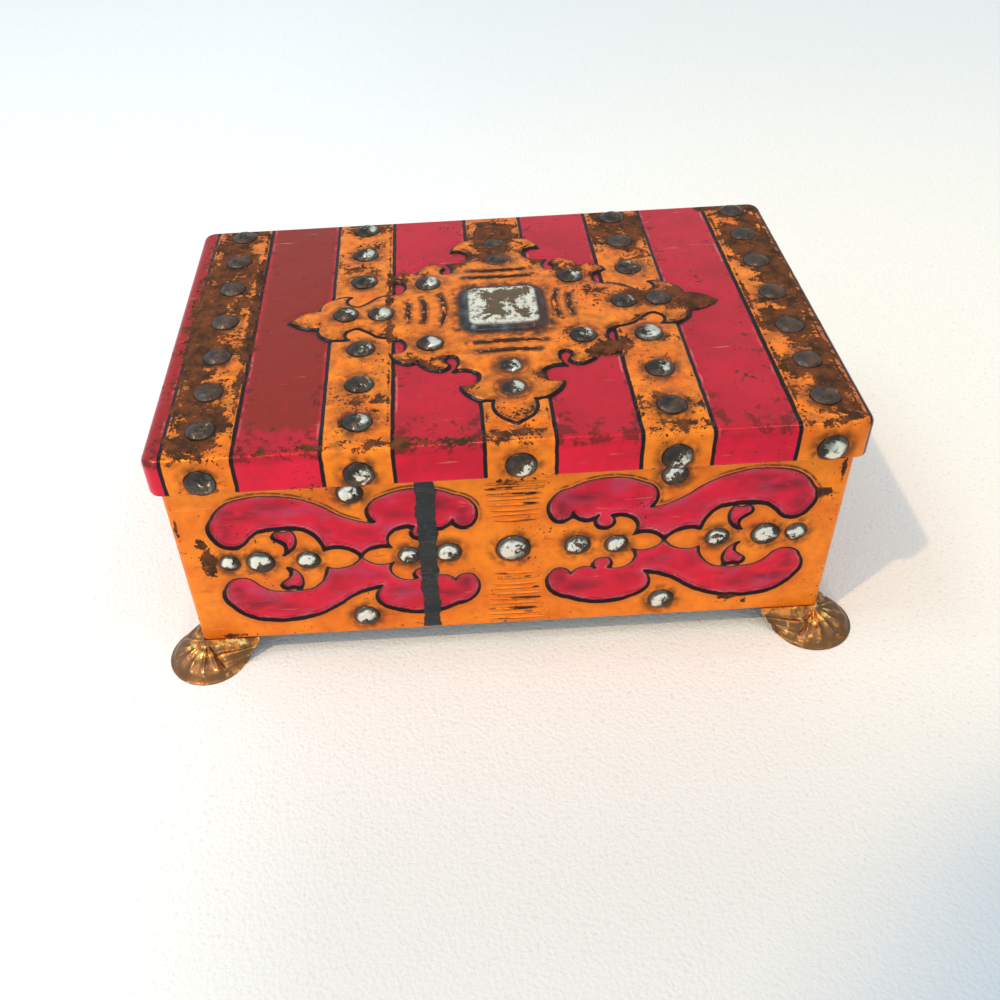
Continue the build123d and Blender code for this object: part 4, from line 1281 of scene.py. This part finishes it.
def lid_print():
    """Crimson and orange print of the lid, with the cross ornament and its silvered boss, painted
    highlights beside the straps and painted shade on the boss's slopes and round the studs.
    """
    finish = Finish("lid_print", Coat_Roughness=0.12, Specular_IOR_Level=0.18)
    wobble = (finish.grain(3.0, seed=4.0) - 0.5) * 0.5
    strap = finish.painted("strap") + wobble
    cross = finish.painted("cross") + wobble
    boss = finish.painted("boss") + wobble
    rim = finish.painted("rim")
    x = finish.along("X")
    y = finish.along("Y")
    top = finish.along("Z").step(71.0, 73.6)
    red = finish.blend(finish.grain(14.0, seed=21.0, detail=4.0).step(0.35, 0.7), CRIMSON, CRIMSON_DEEP)
    drips = finish.grain(5.0, seed=22.0, detail=5.0, stretch=(1.0, 0.3, 1.0))
    red = finish.blend(top * 0.5, red, srgb(150, 28, 38))
    panel_x, panel_half = STAINED_PANEL
    stain = (x - panel_x).size().step(panel_half + 1.0, panel_half - 0.6)
    stain = stain * (y + drips * 16.0).step(-44.0, -40.0) * drips.step(0.2, 0.36)
    red = finish.blend((stain * 0.95).largest(x.step(-84.5, -86.5) * 0.6) * top, red, STAINED_RED)
    near = strap.step(-6.0, -0.8) * 0.07 + y.step(-44.0, -56.0) * 0.1
    smirch = (finish.grain(3.4, seed=26.0, detail=8.0, roughness=0.7) + near * top).step(0.61, 0.67)
    red = finish.blend(smirch * 0.8, red, srgb(104, 24, 24))
    # Painted highlight: pale pink line beside the straps' dark outlines on the top, in patches
    highlight_patches = finish.grain(8.0, seed=25.0, detail=4.0).step(0.5, 0.68)
    highlight_line = (strap + 0.95).size().step(0.4, 0.12) * top * cross.step(-0.8, -1.6) * highlight_patches
    red = finish.blend(highlight_line * 0.45, red, srgb(226, 140, 140))
    gold = finish.blend(finish.grain(9.0, seed=23.0, detail=4.0).step(0.35, 0.75), ORANGE, ORANGE_DEEP)
    gold = finish.blend(finish.grain(6.0, seed=24.0, detail=3.0).step(0.55, 0.8) * 0.6, gold, GOLD)
    tired = finish.grain(4.2, seed=28.0, detail=7.0, roughness=0.66).step(0.4, 0.66) * top
    gold = finish.blend(tired * 0.62, gold, srgb(138, 80, 26))
    colour = finish.blend(strap.largest(cross).step(-0.05, 0.05), red, gold)
    centre = boss.step(3.0, 10.5)
    middle_x, middle_y = CROSS_MIDDLE
    arms = (x - middle_x).size() - (y - middle_y).size()
    mottle = finish.grain(6.0, seed=31.0, detail=8.0, roughness=0.72, distortion=0.6) - centre * 0.1
    mottle = mottle - arms.size().step(4.0, 0.0) * 0.04
    silver = finish.blend(mottle.step(0.43, 0.46), TARNISH, srgb(214, 214, 200))
    specked = finish.grain(1.6, seed=33.0, detail=5.0).step(0.5, 0.62)
    silver = finish.blend(specked * 0.75, silver, srgb(78, 72, 54))
    # The boss's sloped sides: painted shade in dark blue-grey tin, turning brown toward the right
    cloudy = finish.grain(4.0, seed=32.0, detail=4.0).step(0.4, 0.65)
    wall = finish.blend(cloudy, srgb(34, 44, 54), SHADED_TIN_BLUE)
    wall = finish.blend(x.step(0.0, 12.0) * 0.7, wall, srgb(84, 50, 34))
    crown = finish.blend(boss.step(2.2, 3.2), wall, silver)
    colour = finish.blend(boss.step(-0.35, 0.25), colour, crown)
    strap_line = strap.size().step(0.62, 0.42) * cross.step(0.1, -0.2)
    cross_line = (cross + 0.1).size().step(0.6, 0.4)
    smear = finish.grain(3.4, seed=34.0, detail=6.0, roughness=0.62).step(0.38, 0.6)
    # Painted shade of a pressed ring round the front cross studs
    ring = (rim - 1.7).size().step(0.34, 0.1) * cross.step(0.2, 0.6) * y.step(-24.0, -30.0)
    stroke = finish.grain(2.2, seed=35.0, detail=6.0).step(0.36, 0.52)
    stroke = finish.painted("rib").step(2.1, 0.5) * stroke
    # Painted shade and grime: stud rings and smears, the pressed ring and dark strokes along the ribs
    shade_and_soot = stud_shade_and_smear(finish, rim).largest(ring * 0.7).largest(stroke)
    shade_and_soot = shade_and_soot.largest((boss + 0.6).size().step(4.2, 0.6) * smear)
    # Painted shade in a thin dark line along the boss's foot
    shade_and_soot = shade_and_soot.largest((boss + 0.2).size().step(0.9, 0.3) * 0.8)
    shade_and_soot = shade_and_soot.largest(cross.step(3.2, 0.5) * cross.step(-0.2, 0.1) * smear * 0.8)
    off_boss = boss.step(0.6, -0.6)
    edges = strap_line.largest(cross_line) * off_boss
    worn = finish.painted("worn") * off_boss
    return printed_sheet(finish, colour, edges, shade_and_soot, worn, finish.painted("bend"))


def body_print():
    """Orange print of the walls with crimson scroll fields in dark outlines, with painted highlights
    inside the fields' edges and painted shade round the studs and above the upper fields.
    """
    finish = Finish("body_print", Coat_Roughness=0.12, Specular_IOR_Level=0.18)
    wobble = (finish.grain(2.6, seed=4.0, detail=3.0) - 0.5) * 0.5
    field = finish.painted("field") + wobble
    slope = finish.painted("shade") - finish.painted("field")
    gold = finish.blend(finish.grain(10.0, seed=41.0, detail=4.0).step(0.35, 0.75), ORANGE, ORANGE_DEEP)
    creases = finish.grain(5.0, seed=44.0, detail=4.0, stretch=(0.35, 0.35, 1.6))
    gold = finish.blend(creases.step(0.62, 0.72) * 0.4, gold, srgb(150, 66, 20))
    gold = finish.blend(creases.step(0.4, 0.3) * 0.4, gold, GOLD)
    red = finish.blend(finish.grain(8.0, seed=42.0, detail=4.0).step(0.3, 0.75), CRIMSON, CRIMSON_DEEP)
    # Painted highlight: pinker red near the field edges
    edge_highlight = field.step(3.4, 0.8) * finish.grain(6.0, seed=45.0, detail=2.0).step(0.3, 0.65)
    red = finish.blend(edge_highlight * 0.3, red, srgb(238, 84, 120))
    # Painted highlight: pale pink line just inside the field edges
    highlight_line = (field - 0.85).size().step(0.34, 0.1) * finish.grain(5.0, seed=46.0).step(0.42, 0.6)
    red = finish.blend(highlight_line * 0.22, red, srgb(250, 196, 204))
    haze = finish.grain(7.0, seed=48.0, detail=5.0, stretch=(0.6, 1.0, 1.0)).step(0.5, 0.7)
    haze = haze * field.step(0.6, 2.0)
    red = finish.blend(haze * 0.6, red, srgb(172, 66, 104))
    strokes = finish.grain(3.2, seed=43.0, detail=6.0, stretch=(0.45, 1.0, 1.0), distortion=0.8)
    strokes = strokes.step(0.3, 0.56)
    red = finish.blend(finish.painted("smudge") * strokes * 0.9, red, srgb(78, 22, 42))
    colour = finish.blend(field.step(-0.05, 0.05), gold, red)
    shadow = field.step(-2.6, -0.4) * field.step(0.1, -0.3)
    colour = finish.blend(shadow * 0.35, colour, srgb(170, 78, 26))
    low_side = slope.step(0.12, 0.34)
    thick = (field + 0.05).size().step(0.62, 0.44) * low_side
    thin = (field - 0.05).size().step(0.48, 0.32)
    # Painted shade of the relief: thin dark line just outside the upper side of the upper fields
    upper_side = slope.step(-0.16, -0.36) * finish.along("Z").step(46.0, 50.0)
    upper_line = (field + 1.05).size().step(0.46, 0.2) * upper_side
    upper_line = upper_line * finish.grain(2.0, seed=47.0).step(0.3, 0.5)
    shade_and_soot = stud_shade_and_smear(finish, finish.painted("rim")).largest(upper_line * 0.85)
    worn, bend = finish.painted("worn"), finish.painted("bend")
    return printed_sheet(finish, colour, thick.largest(thin), shade_and_soot, worn, bend)


def rib_print(name, smudging, lines):
    """Orange print of the pressed ribs, smudged dark brown, with a dark line of painted shade on the low
    side of each.
    """
    finish = Finish(name, Coat_Roughness=0.2, Coat_Weight=0.1, Specular_IOR_Level=0.18)
    blots = finish.grain(3.0, seed=51.0, detail=6.0, roughness=0.66, distortion=0.3, stretch=lines)
    # Painted shade along the low side of each rib
    under = finish.painted("across").step(0.1, -0.4)
    smudged = blots + smudging
    smudges_and_shade = smudged.step(0.5, 0.58).largest(under * smudged.step(0.2, 0.36))
    dark = finish.blend(finish.grain(1.4, seed=52.0, detail=3.0).step(0.4, 0.6), RUST_DARK, SOOT_AND_SHADE_BROWN)
    gold = finish.blend(finish.grain(4.0, seed=53.0, detail=3.0).step(0.35, 0.7), ORANGE, ORANGE_DEEP)
    colour = finish.blend(smudges_and_shade, gold, dark)
    return finish.done(Base_Color=colour, Roughness=0.32 + smudges_and_shade * 0.3, Normal=finish.bump(smudges_and_shade, -0.05))


def stud_tin():
    """Silvered stud heads, bright where the tarnish is worn away, dark with tarnish between, with painted
    shade on one side and in a brown ring round their feet.
    """
    finish = Finish("stud_tin", Coat_Weight=0.2, Coat_Roughness=0.15)
    blots = finish.grain(2.8, seed=61.0, detail=7.0, roughness=0.68, distortion=0.5)
    dull = finish.painted("dull")
    crown = finish.painted("crown") + (blots - 0.5) * 0.6 - dull * 0.22
    # Tarnish, with a little painted shade added toward each stud's shaded side
    tarnish_and_side_shade = (blots + dull * 0.36 - 0.18 + finish.painted("across") * 0.15).step(0.5, 0.54)
    cloudy = finish.grain(2.0, seed=64.0, detail=4.0).step(0.35, 0.65)
    colour = finish.blend(cloudy, srgb(30, 36, 38), srgb(92, 76, 50))
    colour = finish.blend(tarnish_and_side_shade, BARE_TIN, colour)
    rusty = (blots + dull * 0.3).step(0.72, 0.84)
    colour = finish.blend(rusty * 0.75, colour, rust_colour(finish))
    # Painted shade: the shaded side of each stud darkened
    colour = finish.blend(finish.painted("across").step(0.0, 0.6) * 0.75, colour, srgb(28, 30, 30))
    # Painted shade: dark brown ring round each stud's lower flank, dark rust on dull studs
    ring = crown.step(0.6, 0.3)
    colour = finish.blend(ring * 0.92, colour, finish.blend(dull.step(0.8, 1.1), SOOT_AND_SHADE_BROWN, RUST_DARK))
    fine = finish.grain(0.7, seed=63.0, detail=3.0)
    metal = 0.88 - ring * 0.2 - tarnish_and_side_shade * 0.1 - rusty * 0.5
    return finish.done(
        Base_Color=colour, Metallic=metal, Roughness=0.26 + tarnish_and_side_shade * 0.14 + fine * 0.1,
        Normal=finish.bump(fine, 0.05),
    )


def plain_tin():
    """Bare tinplate of the inside, the bottom and the hinges, dulled and freckled with rust."""
    finish = Finish("plain_tin", Metallic=0.9)
    cloudy = finish.grain(18.0, seed=71.0, detail=5.0, roughness=0.6)
    colour = finish.blend(cloudy.step(0.3, 0.75), srgb(196, 192, 178), srgb(150, 142, 120))
    freckles = finish.grain(3.0, seed=72.0, detail=6.0, roughness=0.65).step(0.66, 0.7)
    colour = finish.blend(freckles, colour, RUST)
    brushed = finish.grain(0.6, seed=73.0, detail=2.0, stretch=(0.12, 1.0, 1.0))
    roughness = 0.32 + cloudy * 0.14 + freckles * 0.3
    return finish.done(Base_Color=colour, Roughness=roughness, Normal=finish.bump(brushed, 0.02))


def foot_lacquer():
    """Gold lacquer of the feet, worn brown in blots, a little more in the hollows and out toward the rim,
    with painted glints and painted highlights on the ridges.
    """
    finish = Finish("foot_lacquer", Metallic=0.85, Coat_Weight=0.3, Coat_Roughness=0.12)
    crest = finish.painted("crest")
    cloudy = finish.grain(6.0, seed=81.0, detail=5.0, roughness=0.6)
    colour = finish.blend(cloudy.step(0.3, 0.7), srgb(236, 150, 58), srgb(172, 98, 38))
    blots = cloudy * 0.5 + finish.grain(2.2, seed=82.0, detail=6.0, roughness=0.66) * 0.6
    share = finish.painted("share")
    brown = (blots - crest * 0.05 + share.step(0.2, 0.55) * 0.1).step(0.5, 0.62)
    colour = finish.blend(brown * 0.85, colour, srgb(92, 70, 46))
    # Painted highlights: bright gold glints in blots and on the ridges' crests
    glints = finish.grain(3.0, seed=84.0, detail=5.0, roughness=0.66).step(0.5, 0.57) * (1 - brown)
    colour = finish.blend(glints.largest(crest.step(0.6, 1.0) * 0.5) * 0.85, colour, srgb(255, 220, 140))
    dents = finish.grain(3.4, seed=83.0, detail=3.0)
    return finish.done(Base_Color=colour, Roughness=0.2 + brown * 0.25, Normal=finish.bump(dents, 0.45))


def strip_black():
    """Black strip, creased and slightly glossy, with a dusting of pale specks."""
    finish = Finish("strip_black", Coat_Weight=0.3, Coat_Roughness=0.2, Specular_IOR_Level=0.3)
    dust = finish.grain(0.9, seed=91.0, detail=3.0).step(0.62, 0.72)
    cloudy = finish.grain(5.0, seed=92.0, detail=4.0)
    colour = finish.blend(cloudy.step(0.3, 0.7), srgb(8, 13, 15), srgb(20, 30, 33))
    colour = finish.blend(dust * 0.4, colour, srgb(90, 104, 108))
    creases = finish.grain(3.0, seed=93.0, detail=4.0, stretch=(0.5, 1.0, 1.4))
    return finish.done(Base_Color=colour, Roughness=0.34 + cloudy * 0.2, Normal=finish.bump(creases, 0.6))


def pin_steel():
    """Grey wire of the hinge pins."""
    finish = Finish("pin_steel", Metallic=1.0)
    cloudy = finish.grain(1.5, seed=95.0, detail=4.0)
    colour = finish.blend(cloudy.step(0.4, 0.7), srgb(150, 148, 142), srgb(96, 78, 60))
    return finish.done(Base_Color=colour, Roughness=0.35 + cloudy * 0.2)


def floor_paper():
    """White table covering with painted light: faintly warm on the right and cool on the left, painted
    shade greyer toward the front and the back right, and a bluish painted shadow in the front right
    corner.
    """
    finish = Finish("floor_paper", Roughness=0.85)
    x = finish.along("X")
    y = finish.along("Y")
    near = y.step(-420.0, -260.0)
    # Painted light: faintly cool on the left and warm on the right
    tone = finish.blend(x.step(-120.0, 180.0), srgb(236, 239, 242), srgb(238, 235, 228))
    # Painted shade: greyer toward the front, right of the middle
    front = y.step(-40.0, -150.0) * x.step(-130.0, -40.0) * near
    tone = finish.blend(front * 0.8, tone, srgb(204, 206, 206))
    # Painted shadow: bluish in the front right corner
    corner = (x - y).step(195.0, 275.0) * y.step(-80.0, -140.0) * x.step(320.0, 200.0)
    tone = finish.blend(corner * near, tone, srgb(176, 190, 204))
    # Painted shade: greyer toward the back right
    tone = finish.blend(y.step(150.0, 420.0) * x.step(-150.0, 60.0) * 0.5, tone, srgb(226, 230, 234))
    weave = finish.grain(1.1, seed=97.0, detail=3.0)
    tone = finish.blend(weave.step(0.42, 0.3) * 0.4, tone, srgb(196, 198, 200))
    return finish.done(Base_Color=tone, Normal=finish.bump(weave, 0.4))


# Making everything

def place_camera():
    """Camera at the photograph's place, with its slight roll."""
    azimuth, down, roll = (math.radians(angle) for angle in (CAMERA_AZIMUTH, CAMERA_DOWN, CAMERA_ROLL))
    level = math.cos(down)
    forward = Vector((math.sin(azimuth) * level, math.cos(azimuth) * level, -math.sin(down)))
    right = forward.cross(Vector((0, 0, 1))).normalized()
    up = right.cross(forward)
    rolled_right = right * math.cos(roll) + up * math.sin(roll)
    rolled_up = up * math.cos(roll) - right * math.sin(roll)
    data = bpy.data.cameras.new("camera")
    data.lens = CAMERA_LENS
    data.sensor_width = CAMERA_SENSOR
    data.shift_x, data.shift_y = CAMERA_SHIFT
    data.clip_start = 0.01
    camera = add_object("camera", data)
    turn = Matrix((rolled_right, rolled_up, -forward)).transposed().to_4x4()
    camera.matrix_world = Matrix.Translation(Vector(CAMERA_PLACE) * MM) @ turn
    bpy.context.scene.camera = camera


def in_metres(place):
    """A place in millimetres, as Blender's vector in metres."""
    return Vector([value * MM for value in place])


def add_lamp(name, place, width, power, tint):
    """Soft square lamp that shines on the box."""
    data = bpy.data.lights.new(name, "AREA")
    data.shape = "SQUARE"
    data.size = width * MM
    data.energy = power
    data.color = tint
    lamp = add_object(name, data)
    lamp.location = in_metres(place)
    lamp.rotation_euler = (in_metres(LAMP_AIM) - in_metres(place)).to_track_quat("-Z", "Y").to_euler()


def light_room():
    """Surroundings like a bright room: pale above, with a window on the left.

    They are brighter low down behind the camera.
    """
    world = bpy.data.worlds.new("studio")
    bpy.context.scene.world = world
    world.use_nodes = True
    room = Graph(world.node_tree)
    toward = room.node("ShaderNodeTexCoord", output="Generated")
    x, y, z = (room.axis(toward, label) for label in "XYZ")
    window = x.step(-0.2, -0.8) * 0.44
    camera_side = y.step(-0.2, -0.8) * z.step(0.8, 0.3) * 0.45
    strength = z.step(-0.1, 0.8) * 0.34 + 0.5 + window + camera_side
    background = room.node("ShaderNodeBackground", inputs={"Color": SKY_COLOUR, "Strength": strength})
    room.feed(room.tree.nodes.new("ShaderNodeOutputWorld"), {"Surface": background})


def add_studio():
    """Pale floor, even white surroundings and soft lamps."""
    mesh = bpy.data.meshes.new("floor")
    half = FLOOR_HALF * MM
    corners = [(-half, -half, 0), (half, -half, 0), (half, half, 0), (-half, half, 0)]
    mesh.from_pydata(corners, [], [(0, 1, 2, 3)])
    mesh.materials.append(floor_paper())
    add_object("floor", mesh)
    light_room()
    for name, lamp in LAMPS.items():
        add_lamp(name, *lamp)
    bpy.context.scene.view_settings.view_transform = "Standard"


def stud_list_for_lid():
    """Studs of the lid: middle, radius, facing and share of tarnish."""
    studs = []
    for x, y, radius in lid_studs():
        on_cross = cross_distance(np.array([x]), np.array([y]))[0] > 0
        level = LID_TOP + (CROSS_RELIEF if on_cross else STRAP_RELIEF)
        dull = patches(np.array([x]), np.array([y]), STUDS_DULL)[0]
        studs.append(((x, y, level), radius, (0, 0, 1), dull))
    for number, centre in enumerate(STRAP_CENTRES):
        over_hinge = abs(abs(centre) - HINGE_X) < NOTCH_HALF_WIDTH
        for side in [-1] if over_hinge else [-1, 1]:
            radius = BACK_STUD_RADIUS if side > 0 else STUD_RADIUS
            place = (centre, side * LID_HALF_Y, SKIRT_STUD_LEVEL)
            studs.append((place, radius, (0, side, 0), SKIRT_STUDS_DULL[number]))
    return studs


def stud_list_for_body():
    """Studs of the four walls: middle, radius, facing and share of tarnish."""
    studs = []
    for wall, (out_x, out_y) in enumerate(WALLS):
        for along, level, radius in wall_studs(wall):
            x = out_x * BODY_HALF_X - out_y * along
            y = out_y * BODY_HALF_Y + out_x * along
            studs.append(((x, y, level), radius, (out_x, out_y, 0), WALL_STUDS_DULL))
    return studs


def finish_piece(piece, body, slot, *nodes):
    """Let a piece ride on its body and stand for CAD nodes; the slot is not used."""
    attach(piece, body)
    if nodes:
        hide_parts(*nodes)


place_camera()
add_studio()

tin = plain_tin()
stud_finish = stud_tin()
finish_piece(make_lid_shell([lid_print(), tin]), "lid", "lid_print", "lid")
finish_piece(make_body_shell([body_print(), tin]), "box", "body_print", "body_wall")
finish_piece(make_strip(strip_black()), "box", "black_strip", "tape_strip")

studs = stud_tree()
stud_pieces = (
    ("lid_studs", stud_list_for_lid(), 1, (-0.9, 0.0, 0.5), "lid", "lid_print"),
    ("wall_studs", stud_list_for_body(), 2, (0.6, 0.0, -0.8), "box", "body_print"),
)
for name, stud_list, seed, shaded_side, body, slot in stud_pieces:
    finish_piece(grow_studs(name, stud_list, studs, stud_finish, seed, shaded_side), body, slot)
ribs = rib_tree()
lid_rib_finish = rib_print("lid_rib_print", 0.1, (1.0, 1.0, 1.0))
wall_rib_finish = rib_print("wall_rib_print", 0.0, (0.25, 0.25, 1.0))
lid_lines = lid_rib_lines()
up = [(0.0, 0.0, 1.0)] * len(lid_lines)
lid_ribs = grow_ribs("lid_ribs", lid_lines, up, ribs, lid_rib_finish, LID_RIB_WIDTH, (0.3, -0.9, 0.0))
wall_lines = wall_rib_lines()
outward = [(0.0, math.copysign(1.0, line[0][1]), 0.0) for line in wall_lines]
wall_ribs = grow_ribs(
    "wall_ribs", wall_lines, outward, ribs, wall_rib_finish, WALL_RIB_WIDTH, (0.0, 0.0, -1.0)
)
finish_piece(lid_ribs, "lid", "lid_print")
finish_piece(wall_ribs, "box", "body_print")

lacquer = foot_lacquer()
foot_corners = {
    "back_right": (1, 1, 0), "back_left": (-1, 1, 90),
    "front_left": (-1, -1, 180), "front_right": (1, -1, 270),
}
for corner_name, corner in foot_corners.items():
    foot = make_foot("stamped_foot_" + corner_name, corner, [lacquer])
    finish_piece(foot, "box", "gold_lacquer", "foot_" + corner_name)

steel = pin_steel()
for name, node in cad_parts.items():
    if not node.hide_render:
        finish = steel if name.startswith("hinge_pin") else tin
        node.data.materials.clear()
        node.data.materials.append(finish)
